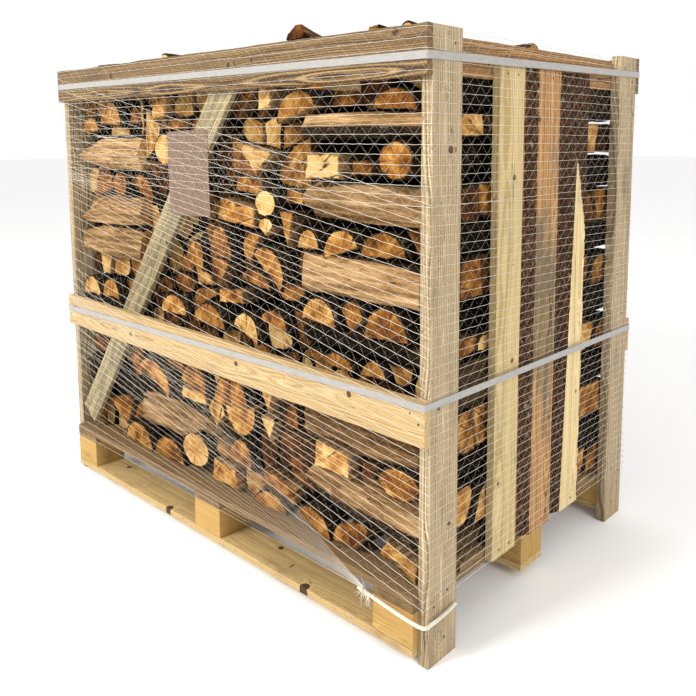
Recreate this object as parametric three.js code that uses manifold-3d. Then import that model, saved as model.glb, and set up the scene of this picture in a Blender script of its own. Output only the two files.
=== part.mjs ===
// A crate of split firewood on a wooden pallet.
// The pallet has three runner boards, nine blocks, cross boards and deck boards. Four posts stand
// outside its short ends and carry long boards, rails, slats and braces. Split logs fill the crate
// to the top: cross-laid piles in the four corners, rows with their ends outwards between them.
// A knitted net and two flat straps run round the crate, and a blank card hangs behind the net.
// Millimetres. X runs along the long side, Y from the front to the back, Z up. The origin is on
// the ground, under the middle of the whole.

import * as THREE from "three";
import { mergeVertices } from "three/addons/utils/BufferGeometryUtils.js";
import Module from "manifold-3d";

// Driving dimensions
const GAP = 0.3;
const PALLET_LENGTH = 1420;
const PALLET_DEPTH = 965;
const PALLET_LIFT = 22;
const PALLET_BOARD = 18;
const RUNNER_WIDTH = 100;
const BLOCK = { width: 110, depth: 100, height: 80 };
const DECK_BOARDS = 6;
const DECK_BOARD_WIDTH = 110;
const POST = { thick: 27, width: 98, height: 1315 };
const LONG_BOARD = { thick: 17.5, topHeight: 97, midHeight: 95, midLow: 492, midTilt: 14 };
const RAIL = { thick: 20, height: 77.5, top: 1303 };
const SLAT = { thick: 20, low: 128, top: 1257 };
const BRACE = { thick: 16, width: 78, lowX: -667, lowZ: 203, highX: 134, highZ: 1284 };
const STRAP = { width: 16, thick: 1.0, stand: 1.8 };
const NET = { thick: 1.2, strand: 3, stand: 0.3, low: 122, high: 1309, hoops: 6, slim: 0.15 };
const TAIL_RADIUS = 5.5;
const LABEL = { width: 180, height: 224, thick: 1, x: -64, z: 1011, turn: -0.025 };

// The logs
const LOG_LENGTH = 335;
const LOG_GAP = 9;
const LOG_SPACING = 104;
const STACK_TOP = 1225;
const STACK_CLEARANCE = { x: 2, y: 3 };
const TOP_DROP = 34;
const CORE_INSET = 46;
const UPPER_ROW = 95;
const SIDE_LOG_INSET = { inner: 2, outer: 14 };
const CRIB_ROOM = 26;
const SIDE_LOG_TAPER = 125;
const SLOT_OVERRUN = 10;
const ARC_STEPS = 3;
const FILL = { spacing: 78, apart: 12, leastArea: 1400, back: 30, spread: 16 };

// How unevenly the logs' ends stand back from the stack's face, and the fewest sides of a log
const ROW_LOGS = { spread: 40, sides: 3 };
const PILE_LOGS = { spread: 12, sides: 4 };

// Places worked out from the driving dimensions
const HALF_PALLET = PALLET_LENGTH / 2;
const HALF_DEPTH = PALLET_DEPTH / 2;
const POST_INNER = HALF_PALLET + GAP;
const HALF_LENGTH = POST_INNER + POST.thick;
const POST_FRONT = HALF_DEPTH - LONG_BOARD.thick - GAP;
const BLOCK_LOW = PALLET_LIFT + PALLET_BOARD + GAP;
const CROSS_LOW = BLOCK_LOW + BLOCK.height + GAP;
const DECK_LOW = CROSS_LOW + PALLET_BOARD + GAP;
const DECK_TOP = DECK_LOW + PALLET_BOARD;
const STACK_LOW = DECK_TOP + GAP;
const TOP_BOARD_LOW = POST.height - LONG_BOARD.topHeight;
const STACK_HALF_X = HALF_PALLET - STACK_CLEARANCE.x;
const STACK_HALF_Y = POST_FRONT - BRACE.thick - STACK_CLEARANCE.y;
const CRIB_INNER_X = STACK_HALF_X - LOG_LENGTH - CRIB_ROOM;
const CRIB_INNER_Y = STACK_HALF_Y - LOG_LENGTH;

// Materials, one to each kind of piece
const material = (color, roughness) => new THREE.MeshStandardMaterial({ color, roughness, metalness: 0 });
const POST_WOOD = material(0xc9b083, 0.8);
const BOARD_WOOD = material(0xd3ac6e, 0.8);
const SLAT_WOOD = material(0xd0b57c, 0.8);
const PALLET_WOOD = material(0xd9ae63, 0.8);
const LOG_WOOD = material(0xb9803f, 0.85);
const STACK_WOOD = material(0x9c6b35, 0.9);
const STRAP_PLASTIC = material(0xdfe4ec, 0.35);
const NET_PLASTIC = material(0xf0ead8, 0.5);
const CARD = material(0xcbaa95, 0.7);

const crate = new THREE.Group();

function place(name, geometry, look) {
  const mesh = new THREE.Mesh(geometry, look);
  mesh.name = name;
  crate.add(mesh);
  return mesh;
}

// A board between its lowest and its highest corner
function board(name, look, low, high) {
  const size = new THREE.Vector3(...high).sub(new THREE.Vector3(...low));
  const mesh = place(name, new THREE.BoxGeometry(size.x, size.y, size.z), look);
  mesh.position.set(...low).addScaledVector(size, 0.5);
  return mesh;
}

// A closed solid over rings of points: each ring is convex, and all have the same number of points
function loft(rings) {
  const count = rings[0].length;
  const positions = rings.flat().flatMap((p) => [p.x, p.y, p.z]);
  const faces = [];
  for (let r = 0; r + 1 < rings.length; r += 1) {
    for (let i = 0; i < count; i += 1) {
      const a = r * count + i;
      const b = r * count + ((i + 1) % count);
      faces.push([a, b, b + count], [a, b + count, a + count]);
    }
  }
  const last = (rings.length - 1) * count;
  for (let i = 1; i + 1 < count; i += 1) {
    faces.push([0, i + 1, i], [last, last + i, last + i + 1]);
  }
  const corner = (i) => new THREE.Vector3(...positions.slice(3 * i, 3 * i + 3));
  const volume = faces.reduce((sum, [a, b, c]) => sum + corner(a).dot(corner(b).cross(corner(c))), 0);
  const turned = volume < 0 ? faces.map(([a, b, c]) => [a, c, b]) : faces;
  const geometry = new THREE.BufferGeometry();
  geometry.setAttribute("position", new THREE.Float32BufferAttribute(positions, 3));
  geometry.setIndex(turned.flat());
  geometry.computeVertexNormals();
  return geometry;
}

// A repeatable number from 0 to 1 for each whole number
function chance(n) {
  const s = Math.sin(n * 12.9898 + 78.233) * 43758.5453;
  return s - Math.floor(s);
}

// Joining and cutting of closed solids
const wasm = await Module();
wasm.setup();

function toSolid(geometry) {
  const bare = geometry.clone();
  bare.deleteAttribute("normal");
  bare.deleteAttribute("uv");
  const merged = mergeVertices(bare);
  const mesh = new wasm.Mesh({
    numProp: 3,
    vertProperties: new Float32Array(merged.attributes.position.array),
    triVerts: new Uint32Array(merged.index.array),
  });
  return new wasm.Manifold(mesh);
}

function toGeometry(solid) {
  const mesh = solid.getMesh();
  const geometry = new THREE.BufferGeometry();
  geometry.setAttribute("position", new THREE.Float32BufferAttribute(mesh.vertProperties, 3));
  geometry.setIndex(Array.from(mesh.triVerts));
  geometry.computeVertexNormals();
  return geometry;
}

function block(low, high) {
  const size = new THREE.Vector3(...high).sub(new THREE.Vector3(...low));
  const geometry = new THREE.BoxGeometry(size.x, size.y, size.z);
  geometry.translate(low[0] + size.x / 2, low[1] + size.y / 2, low[2] + size.z / 2);
  return geometry;
}

// Pallet: runners, blocks, cross boards and deck boards
function buildPallet() {
  const right = HALF_PALLET - BLOCK.width;
  const columns = [["left", -HALF_PALLET], ["middle", -BLOCK.width / 2], ["right", right]];
  const rows = [["front", -HALF_DEPTH], ["middle", -RUNNER_WIDTH / 2], ["back", HALF_DEPTH - RUNNER_WIDTH]];
  for (const [rowName, y] of rows) {
    board(`runner_board_${rowName}`, PALLET_WOOD, [-HALF_PALLET, y, PALLET_LIFT],
      [HALF_PALLET, y + RUNNER_WIDTH, PALLET_LIFT + PALLET_BOARD]);
    for (const [columnName, x] of columns) {
      const far = [x + BLOCK.width, y + BLOCK.depth, BLOCK_LOW + BLOCK.height];
      board(`block_${rowName}_${columnName}`, PALLET_WOOD, [x, y, BLOCK_LOW], far);
    }
  }
  for (const [columnName, x] of columns) {
    board(`cross_board_${columnName}`, PALLET_WOOD, [x, -HALF_DEPTH, CROSS_LOW],
      [x + BLOCK.width, HALF_DEPTH, CROSS_LOW + PALLET_BOARD]);
  }
  const pitch = (PALLET_DEPTH - DECK_BOARD_WIDTH) / (DECK_BOARDS - 1);
  for (let i = 0; i < DECK_BOARDS; i += 1) {
    const y = -HALF_DEPTH + i * pitch;
    board(`deck_board_${i + 1}`, PALLET_WOOD, [-HALF_PALLET, y, DECK_LOW],
      [HALF_PALLET, y + DECK_BOARD_WIDTH, DECK_TOP]);
  }
}

// Frame: four posts, and a top board and a middle board on each long side
function buildFrame() {
  for (const [side, sx] of [["left", -1], ["right", 1]]) {
    for (const [end, sy] of [["front", -1], ["back", 1]]) {
      const xs = [sx * POST_INNER, sx * HALF_LENGTH].sort((a, b) => a - b);
      const ys = [sy * POST_FRONT, sy * (POST_FRONT - POST.width)].sort((a, b) => a - b);
      board(`post_${end}_${side}`, POST_WOOD, [xs[0], ys[0], 0], [xs[1], ys[1], POST.height]);
    }
  }
  for (const [end, sy] of [["front", -1], ["back", 1]]) {
    const ys = [sy * HALF_DEPTH, sy * (HALF_DEPTH - LONG_BOARD.thick)].sort((a, b) => a - b);
    board(`top_board_${end}`, BOARD_WOOD, [-HALF_LENGTH, ys[0], TOP_BOARD_LOW],
      [HALF_LENGTH, ys[1], POST.height]);
    const drop = (x) => (-LONG_BOARD.midTilt / 2) * (x / HALF_LENGTH);
    const ring = (x) => [
      new THREE.Vector3(x, ys[0], LONG_BOARD.midLow + drop(x)),
      new THREE.Vector3(x, ys[1], LONG_BOARD.midLow + drop(x)),
      new THREE.Vector3(x, ys[1], LONG_BOARD.midLow + LONG_BOARD.midHeight + drop(x)),
      new THREE.Vector3(x, ys[0], LONG_BOARD.midLow + LONG_BOARD.midHeight + drop(x)),
    ];
    place(`middle_board_${end}`, loft([ring(-HALF_LENGTH), ring(HALF_LENGTH)]), BOARD_WOOD);
  }
}

// Braces: one slanting board behind the long boards of each long side
function buildBraces() {
  const rise = BRACE.highZ - BRACE.lowZ;
  const run = BRACE.highX - BRACE.lowX;
  for (const [end, sy] of [["front", -1], ["back", 1]]) {
    const mesh = place(`brace_${end}`, new THREE.BoxGeometry(Math.hypot(run, rise), BRACE.thick, BRACE.width),
      POST_WOOD);
    mesh.position.set((BRACE.lowX + BRACE.highX) / 2, sy * (POST_FRONT - BRACE.thick / 2),
      (BRACE.lowZ + BRACE.highZ) / 2);
    mesh.rotation.y = -Math.atan2(rise, run);
  }
}

// A slat that stands outside the pallet's end. A waney one has a sloping bark edge: its outer face
// is narrower than its inner face by the wane at its foot and by the wane at its top.
function slat(name, sx, yLow, yHigh, waneLow, waneHigh) {
  const inner = sx * POST_INNER;
  const outer = sx * (POST_INNER + SLAT.thick);
  const ring = (z, wane) => [
    new THREE.Vector3(inner, yLow, z),
    new THREE.Vector3(inner, yHigh, z),
    new THREE.Vector3(outer, yHigh, z),
    new THREE.Vector3(outer, yLow + wane, z),
  ];
  place(name, loft([ring(SLAT.low, waneLow), ring(SLAT.top, waneHigh)]), SLAT_WOOD);
}

function buildSides() {
  for (const [side, sx] of [["left", -1], ["right", 1]]) {
    const xs = [sx * HALF_PALLET, sx * (HALF_PALLET - RAIL.thick)].sort((a, b) => a - b);
    board(`rail_${side}`, SLAT_WOOD, [xs[0], -POST_FRONT, RAIL.top - RAIL.height],
      [xs[1], POST_FRONT, RAIL.top]);
  }
  slat("slat_right_1", 1, -215, -115, 0, 0);
  slat("slat_right_2", 1, -82, 52, 38, 34);
  slat("slat_right_3", 1, 72, 202, 37, 92);
  slat("slat_left_1", -1, -230, -130, 0, 0);
  slat("slat_left_2", -1, -52, 48, 0, 0);
  slat("slat_left_3", -1, 120, 222, 20, 24);
}

// Straps: two flat bands round the crate, each in a slightly slanting plane
function buildStraps() {
  const inX = HALF_LENGTH + STRAP.stand;
  const inY = HALF_DEPTH + STRAP.stand;
  for (const [name, mid, slantX, slantY] of [["strap_top", 1268, -4, 7], ["strap_middle", 553, 9, -8]]) {
    const ring = roundedRectangle(inX + STRAP.thick, inY + STRAP.thick, 4);
    ring.holes.push(roundedRectangle(inX, inY, 3));
    const geometry = new THREE.ExtrudeGeometry(ring, {
      depth: STRAP.width, bevelEnabled: false, curveSegments: 3,
    });
    const points = geometry.attributes.position;
    for (let i = 0; i < points.count; i += 1) {
      const slant = (slantX * points.getX(i)) / inX + (slantY * points.getY(i)) / inY;
      points.setZ(i, points.getZ(i) + mid - STRAP.width / 2 + slant);
    }
    place(name, geometry, STRAP_PLASTIC);
  }
}

function roundedRectangle(halfX, halfY, radius) {
  const shape = new THREE.Shape();
  shape.moveTo(-halfX + radius, -halfY);
  shape.absarc(halfX - radius, -halfY + radius, radius, -Math.PI / 2, 0);
  shape.absarc(halfX - radius, halfY - radius, radius, 0, Math.PI / 2);
  shape.absarc(-halfX + radius, halfY - radius, radius, Math.PI / 2, Math.PI);
  shape.absarc(-halfX + radius, -halfY + radius, radius, Math.PI, Math.PI * 1.5);
  shape.closePath();
  return shape;
}

// Net: a wide-meshed band of its main strands round the crate, and its twisted tail
function buildNet() {
  const inX = HALF_LENGTH + NET.stand;
  const inY = HALF_DEPTH + NET.stand;
  const outX = inX + NET.thick;
  const outY = inY + NET.thick;
  const solids = [];
  for (let i = 0; i < NET.hoops; i += 1) {
    const z = NET.low + ((NET.high - NET.low - NET.strand) * i) / (NET.hoops - 1);
    const outside = toSolid(block([-outX, -outY, z], [outX, outY, z + NET.strand]));
    const inside = toSolid(block([-inX, -inY, z - 1], [inX, inY, z + NET.strand + 1]));
    solids.push(outside.subtract(inside));
  }
  const upright = (x0, x1, y0, y1) => {
    solids.push(toSolid(block([x0, y0, NET.low + 1], [x1, y1, NET.high - 1])));
  };
  for (const t of [-0.8, -0.4, 0, 0.4, 0.8]) {
    const x = t * inX;
    upright(x, x + NET.strand, -outY + NET.slim, -inY - NET.slim);
    upright(x, x + NET.strand, inY + NET.slim, outY - NET.slim);
  }
  for (const t of [-0.66, 0, 0.66]) {
    const y = t * inY;
    upright(-outX + NET.slim, -inX - NET.slim, y, y + NET.strand);
    upright(inX + NET.slim, outX - NET.slim, y, y + NET.strand);
  }
  place("net", toGeometry(wasm.Manifold.union(solids)), NET_PLASTIC);

  const off = NET.stand + NET.thick + GAP + TAIL_RADIUS;
  const route = new THREE.CatmullRomCurve3([
    new THREE.Vector3(560, -HALF_DEPTH - off, 118),
    new THREE.Vector3(640, -HALF_DEPTH - off, 114),
    new THREE.Vector3(715, -HALF_DEPTH - off, 108),
    new THREE.Vector3(HALF_LENGTH + off - 4, -HALF_DEPTH - off + 4, 105),
    new THREE.Vector3(HALF_LENGTH + off, -HALF_DEPTH + 20, 104),
    new THREE.Vector3(HALF_LENGTH + off, -POST_FRONT + 50, 106),
    new THREE.Vector3(HALF_LENGTH + off, -POST_FRONT + POST.width - 8, 110),
  ]);
  const section = new THREE.Shape();
  section.absarc(0, 0, TAIL_RADIUS, 0, Math.PI * 2);
  const tail = new THREE.ExtrudeGeometry(section, {
    steps: 20, bevelEnabled: false, curveSegments: 4, extrudePath: route,
  });
  place("net_tail", tail, NET_PLASTIC);
}

// Label: a blank card between the front brace and the net
function buildLabel() {
  const mesh = place("label_card", new THREE.BoxGeometry(LABEL.width, LABEL.thick, LABEL.height), CARD);
  mesh.position.set(LABEL.x, -POST_FRONT - GAP - LABEL.thick / 2, LABEL.z);
  mesh.rotation.y = LABEL.turn;
}

// A convex outline cut along a line: what lies beyond limit in the direction [nx, nz] goes
function clip(polygon, nx, nz, limit) {
  const beyond = (p) => p[0] * nx + p[1] * nz - limit;
  const kept = [];
  polygon.forEach((p, i) => {
    const q = polygon[(i + 1) % polygon.length];
    const bp = beyond(p);
    const bq = beyond(q);
    if (bp <= 0) kept.push(p);
    if (bp * bq < 0) {
      const t = bp / (bp - bq);
      kept.push([p[0] + (q[0] - p[0]) * t, p[1] + (q[1] - p[1]) * t]);
    }
  });
  return kept;
}

// The part of a rectangle that is nearest to one seed, kept half a gap away from its neighbours and
// from the rectangle's sides, but not from the deck or from the top of the stack.
// Points are [across, up], and the result is convex and runs anticlockwise.
function cell(seed, seeds, area) {
  const edge = LOG_GAP / 2;
  const low = area.low + edge;
  const high = area.high - edge;
  const bottom = area.bottom === STACK_LOW ? STACK_LOW : area.bottom + edge;
  const top = area.top === STACK_TOP ? STACK_TOP : area.top - edge;
  let polygon = [[low, bottom], [high, bottom], [high, top], [low, top]];
  for (const other of seeds) {
    const far = Math.hypot(other[0] - seed[0], other[1] - seed[1]);
    if (far === 0) continue;
    const nx = (other[0] - seed[0]) / far;
    const nz = (other[1] - seed[1]) / far;
    polygon = clip(polygon, nx, nz, seed[0] * nx + seed[1] * nz + far / 2 - edge);
  }
  return polygon;
}

// The edge of a convex outline that faces a point the most: its direction outwards, its place along
// that direction, and how far outside it the point lies
function facingEdge(outline, point) {
  const edges = outline.map((p, i) => {
    const q = outline[(i + 1) % outline.length];
    const long = Math.hypot(q[0] - p[0], q[1] - p[1]);
    const nx = (q[1] - p[1]) / long;
    const nz = (p[0] - q[0]) / long;
    const place = p[0] * nx + p[1] * nz;
    return { nx, nz, place, outside: point[0] * nx + point[1] * nz - place };
  });
  return edges.reduce((best, e) => (e.outside > best.outside ? e : best));
}

// A split log's section: a cell with its shortest edges closed up
function section(polygon, sides) {
  let points = polygon;
  while (points.length > sides) {
    const lengths = points.map((p, i) => {
      const q = points[(i + 1) % points.length];
      return Math.hypot(q[0] - p[0], q[1] - p[1]);
    });
    const i = lengths.indexOf(Math.min(...lengths));
    const j = (i + 1) % points.length;
    const mid = [(points[i][0] + points[j][0]) / 2, (points[i][1] + points[j][1]) / 2];
    points = points.map((p, k) => (k === i ? mid : p)).filter((p, k) => k !== j);
  }
  return points;
}

// Staggered seeds of the logs in a rectangle, kept apart from each other
function seedsFor(area, spacing, first) {
  const seeds = [];
  const rows = Math.max(1, Math.round((area.top - area.bottom) / (spacing * 0.86)));
  const columns = Math.max(1, Math.round((area.high - area.low) / spacing));
  for (let r = 0; r < rows; r += 1) {
    for (let c = 0; c < columns; c += 1) {
      const n = first + r * 17 + c * 3;
      const across = (c + 0.5 + (r % 2 ? 0.2 : -0.2) + (chance(n) - 0.5) * 0.45) / columns;
      const up = (r + 0.5 + (chance(n + 1) - 0.5) * 0.5) / rows;
      const seed = [area.low + (area.high - area.low) * across, area.bottom + (area.top - area.bottom) * up];
      if (seeds.every((s) => Math.hypot(s[0] - seed[0], s[1] - seed[1]) > spacing * 0.72)) seeds.push(seed);
    }
  }
  return seeds;
}

// One log as a prism of its section, along X or Y from one end to the other
function logPrism(points, axis, from, to) {
  const at = (along, [across, up]) => {
    if (axis === "x") return new THREE.Vector3(along, across, up);
    return new THREE.Vector3(across, along, up);
  };
  return loft([points.map((p) => at(from, p)), points.map((p) => at(to, p))]);
}

// All logs of a rectangle. The ends on the side that outward gives lie on the stack's face and are
// uneven, and so are the logs on top.
function logsIn(area, axis, from, to, outward, first, kind) {
  const seeds = seedsFor(area, LOG_SPACING, first);
  return seeds.map((seed, i) => {
    const pick = first + i * 7;
    const lower = area.top === STACK_TOP && chance(pick + 1) < 0.5 ? TOP_DROP * chance(pick + 2) : 0;
    const sides = kind.sides + Math.floor(chance(pick + 3) * 1.4 + chance(pick + 4) * 1.5);
    const trimmed = lower > 0 ? { ...area, top: area.top - lower } : area;
    const points = section(cell(seed, seeds, trimmed), sides);
    const back = kind.spread * chance(pick + 5);
    const start = outward < 0 ? from + back : from;
    const stop = outward > 0 ? to - back : to;
    return logPrism(points, axis, start, stop);
  });
}

// Courses of the corner piles, from the deck up: "x" logs lie along the long side, "y" logs across.
// The front right and front left piles follow the photograph.
const PILE_FRONT_RIGHT = [
  [156, 228, "y"],
  [228, 330, "x"],
  [330, 402, "y"],
  [402, 506, "x"],
  [506, 618, "y"],
  [618, 668, "x"],
  [668, 752, "y"],
  [752, 846, "x"],
  [846, 918, "y"],
  [918, 1002, "x"],
  [1002, 1100, "y"],
  [1100, 1157, "x"],
  [1157, STACK_TOP, "y"],
];
const PILE_FRONT_LEFT = [
  [156, 290, "y"],
  [290, 398, "x"],
  [398, 500, "y"],
  [500, 600, "x"],
  [600, 668, "y"],
  [668, 738, "y"],
  [738, 838, "x"],
  [838, 928, "x"],
  [928, 1012, "y"],
  [1012, 1108, "x"],
  [1108, STACK_TOP, "y"],
];
const PILE_BACK = [
  [156, 240, "x"],
  [240, 330, "y"],
  [330, 425, "x"],
  [425, 515, "y"],
  [515, 600, "x"],
  [600, 695, "y"],
  [695, 785, "x"],
  [785, 870, "y"],
  [870, 965, "x"],
  [965, 1055, "y"],
  [1055, 1140, "x"],
  [1140, STACK_TOP, "y"],
];
const PILES = [
  { sx: 1, sy: -1, courses: PILE_FRONT_RIGHT, first: 100 },
  { sx: -1, sy: -1, courses: PILE_FRONT_LEFT, first: 900 },
  { sx: 1, sy: 1, courses: PILE_BACK, first: 1700 },
  { sx: -1, sy: 1, courses: PILE_BACK, first: 2500 },
];

// Ends of logs at the front that the photograph shows: middle across and up, width, height, turn in
// degrees, shape, and how far the end stands back
const FRONT_LOGS = [
  [-510, 1181, 125, 72, -4, "half", 14],
  [-405, 1171, 70, 52, 0, "block", 40],
  [-622, 1148, 100, 46, 0, "half", 5],
  [-592, 972, 112, 72, 15, "half", 30],
  [-447, 967, 84, 70, 0, "round", 0],
  [-335, 966, 140, 55, -28, "half", 12],
  [-646, 634, 108, 58, 0, "half", 0],
  [-538, 636, 98, 60, 0, "half", 6],
  [-645, 438, 110, 66, 0, "round", 25],
  [-225, 1184, 96, 62, 40, "quarter", 4],
  [-195, 1142, 140, 30, 0, "block", 30],
  [130, 1203, 50, 38, 0, "block", 25],
  [88, 1173, 70, 42, 0, "wedge", 30],
  [220, 1196, 46, 50, 0, "block", 5],
  [328, 1182, 136, 54, 14, "half", 0],
  [-240, 1072, 98, 90, 0, "round", 25],
  [178, 1050, 148, 62, -8, "wedge", 0],
  [125, 985, 100, 38, -8, "block", 30],
  [90, 913, 150, 58, -5, "block", 15],
  [222, 946, 74, 66, 0, "round", 0],
  [218, 888, 54, 46, 0, "quarter", 3],
  [291, 886, 52, 84, 0, "wedge", 5],
  [290, 962, 60, 34, 0, "block", 35],
  [40, 838, 92, 86, 0, "half", 0],
  [26, 756, 76, 72, -8, "wedge", 6],
  [-82, 793, 86, 78, -18, "half", 10],
  [-150, 755, 58, 48, 0, "block", 30],
  [150, 838, 88, 48, 60, "half", 8],
  [240, 800, 136, 60, -37, "half", 0],
  [168, 756, 112, 42, -8, "half", 12],
  [303, 736, 110, 38, 178, "half", 4],
  [-183, 638, 132, 54, 0, "half", 0],
  [-25, 632, 138, 60, -2, "half", 5],
  [50, 690, 104, 38, 6, "block", 22],
  [136, 630, 106, 58, -18, "half", 6],
  [236, 660, 98, 42, -15, "half", 12],
  [-325, 630, 84, 48, 0, "block", 45],
  [618, 1182, 120, 44, 0, "half", 12],
  [450, 1188, 90, 36, 0, "block", 45],
  [418, 1039, 108, 56, -2, "block", 0],
  [510, 1036, 62, 34, 0, "block", 30],
  [630, 1056, 94, 80, 0, "round", 0],
  [366, 871, 68, 48, 0, "half", 5],
  [465, 874, 110, 52, 20, "half", 2],
  [592, 878, 132, 54, -1, "half", 4],
  [404, 710, 116, 60, -5, "half", 0],
  [502, 710, 68, 72, -8, "quarter", 6],
  [600, 710, 126, 72, 4, "half", 2],
  [355, 592, 76, 26, 0, "half", 30],
  [446, 597, 104, 34, 0, "half", 15],
  [556, 598, 76, 36, 0, "half", 15],
  [440, 364, 112, 62, 0, "block", 0],
  [524, 352, 44, 36, 0, "block", 35],
  [640, 367, 116, 70, 0, "round", 0],
  [384, 197, 116, 44, -22, "half", 0],
  [494, 195, 128, 66, 28, "quarter", 6],
  [642, 194, 104, 44, -18, "block", 3],
  [-408, 425, 90, 120, 0, "quarter", 14],
  [-285, 415, 168, 60, -28, "half", 0],
  [-204, 462, 72, 42, -18, "block", 14],
  [-95, 443, 126, 72, -12, "half", 3],
  [-128, 378, 116, 34, -3, "block", 20],
  [58, 440, 138, 88, 5, "half", 6],
  [-105, 228, 122, 98, 0, "round", 6],
  [-515, 240, 146, 88, 12, "wedge", 16],
  [-400, 196, 146, 70, -4, "half", 4],
  [-240, 194, 150, 66, 0, "half", 6],
  [-10, 360, 72, 82, 0, "quarter", 12],
  [104, 366, 122, 76, 188, "half", 6],
  [197, 448, 60, 72, 0, "wedge", 14],
  [200, 368, 54, 60, 0, "wedge", 14],
  [298, 326, 140, 86, 0, "block", 30],
  [98, 280, 100, 70, -15, "half", 8],
  [248, 236, 126, 46, -12, "block", 6],
  [208, 183, 124, 44, 0, "half", 10],
  [24, 196, 112, 60, 0, "block", 8],
  [256, 420, 58, 88, 0, "block", 40],
];

// Logs that lie along the long side at the front: the one in the middle is part of the stack, and
// those of the corner piles are pieces of their own. Each has its depth, its section as fractions of
// depth and height, and its lowest and highest place at both ends as fractions of its height.
const RIDGED = [[0, 0.45], [0.16, 0], [1, 0], [1, 0.8], [0.6, 1], [0.2, 0.96]];
const UPRIGHT = [[0, 0.12], [0.1, 0], [1, 0], [1, 0.85], [0.5, 1], [0.05, 0.93]];
const SLOPED = [[0, 0.42], [0.14, 0], [1, 0], [1, 0.75], [0.75, 1], [0.42, 1]];
const MIDDLE_SIDE_LOG = { depth: 104, shape: UPRIGHT, ends: [[0, 0.9], [0.5, 0.86]] };
const MIDDLE_SIDE_AREA = { low: -368, high: -46, bottom: 248, top: 360 };
const FRONT_SIDE_LOGS = [
  { name: "right_lowest", pile: 0, course: 1, depth: 112, shape: SLOPED, ends: [[0.5, 0.95], [0, 0.9]] },
  { name: "right_low", pile: 0, course: 3, depth: 108, shape: UPRIGHT, ends: [[0, 0.95], [0.1, 0.95]] },
  { name: "right_middle", pile: 0, course: 7, depth: 110, shape: UPRIGHT, ends: [[0, 1], [0, 0.88]] },
  { name: "right_high", pile: 0, course: 9, depth: 105, shape: RIDGED, ends: [[0.35, 0.85], [0, 0.75]] },
  { name: "right_highest", pile: 0, course: 11, depth: 104, shape: RIDGED, ends: [[0, 1], [0, 0.95]] },
  { name: "left_low", pile: 1, course: 6, depth: 112, shape: UPRIGHT, ends: [[0, 1], [0.1, 0.75]] },
  { name: "left_middle", pile: 1, course: 7, depth: 104, shape: RIDGED, ends: [[0.1, 1], [0, 0.35]] },
  { name: "left_high", pile: 1, course: 9, depth: 110, shape: RIDGED, ends: [[0, 1], [0.25, 0.6]] },
];

// Points of an arc of an ellipse with half axes of 0.5 by height, both of its ends with it
function arc(fromDegrees, toDegrees, middle, height) {
  return Array.from({ length: ARC_STEPS + 1 }, (_, i) => {
    const a = THREE.MathUtils.degToRad(fromDegrees + ((toDegrees - fromDegrees) * i) / ARC_STEPS);
    return [0.5 * Math.cos(a), middle + height * Math.sin(a)];
  });
}

// Shapes of the ends, one wide and one high round their middle: half a stem with its flat side down,
// a quarter with its sharp edge down, a whole stem, and pieces split on all sides
const END_SHAPES = {
  half: arc(0, 180, -0.5, 1),
  quarter: [[0, -0.5], ...arc(5, 175, 0, 0.5)],
  round: [...arc(0, 180, 0, 0.5), ...arc(225, 315, 0, 0.5).filter((p, i) => i % 2 === 0)],
  block: [[-0.5, -0.5], [0.5, -0.46], [0.46, 0.44], [-0.44, 0.5]],
  wedge: [[0.1, -0.5], [0.5, 0.4], [0.42, 0.5], [-0.5, 0.5]],
};

// A front log's end as a convex outline that runs anticlockwise, kept between the deck and the
// stack's top
function endOutline([across, up, width, height, turn, shape]) {
  const a = THREE.MathUtils.degToRad(turn);
  return END_SHAPES[shape].map(([u, v]) => {
    const z = up + u * width * Math.sin(a) + v * height * Math.cos(a);
    return [
      across + u * width * Math.cos(a) - v * height * Math.sin(a),
      THREE.MathUtils.clamp(z, STACK_LOW, STACK_TOP),
    ];
  });
}

function pileArea(pile, course, axis) {
  const [bottom, top] = course;
  const alongX = [pile.sx * CRIB_INNER_X, pile.sx * STACK_HALF_X];
  const alongY = [pile.sy * CRIB_INNER_Y, pile.sy * STACK_HALF_Y];
  const [low, high] = (axis === "y" ? alongX : alongY).sort((a, b) => a - b);
  return { low, high, bottom: Math.max(bottom, STACK_LOW), top };
}

function outlineArea(outline) {
  const twice = outline.reduce((sum, p, i) => {
    const q = outline[(i + 1) % outline.length];
    return sum + p[0] * q[1] - q[0] * p[1];
  }, 0);
  return twice / 2;
}

// True for a point of the front that lies before the stack's plain inside
function reachesCore([across, up]) {
  return Math.abs(across) < STACK_HALF_X - CORE_INSET && up < STACK_TOP - CORE_INSET;
}

// Logs that fill what the given ends leave free in a rectangle of the front. They stand further back.
function fillIn(area, outlines, first) {
  const free = (seed) => outlines.every((o) => facingEdge(o, seed).outside > FILL.apart);
  const seeds = seedsFor(area, FILL.spacing, first).filter(free);
  const pieces = [];
  seeds.forEach((seed, i) => {
    const shape = outlines.reduce((polygon, outline) => {
      const edge = facingEdge(outline, seed);
      return clip(polygon, -edge.nx, -edge.nz, -edge.place - LOG_GAP / 2);
    }, cell(seed, seeds, area));
    if (outlineArea(shape) < FILL.leastArea || !shape.some(reachesCore)) return;
    const back = FILL.back + FILL.spread * chance(first + i * 11);
    pieces.push(logPrism(section(shape, 5), "y", -STACK_HALF_Y + back, -CRIB_INNER_Y));
  });
  return pieces;
}

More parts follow.
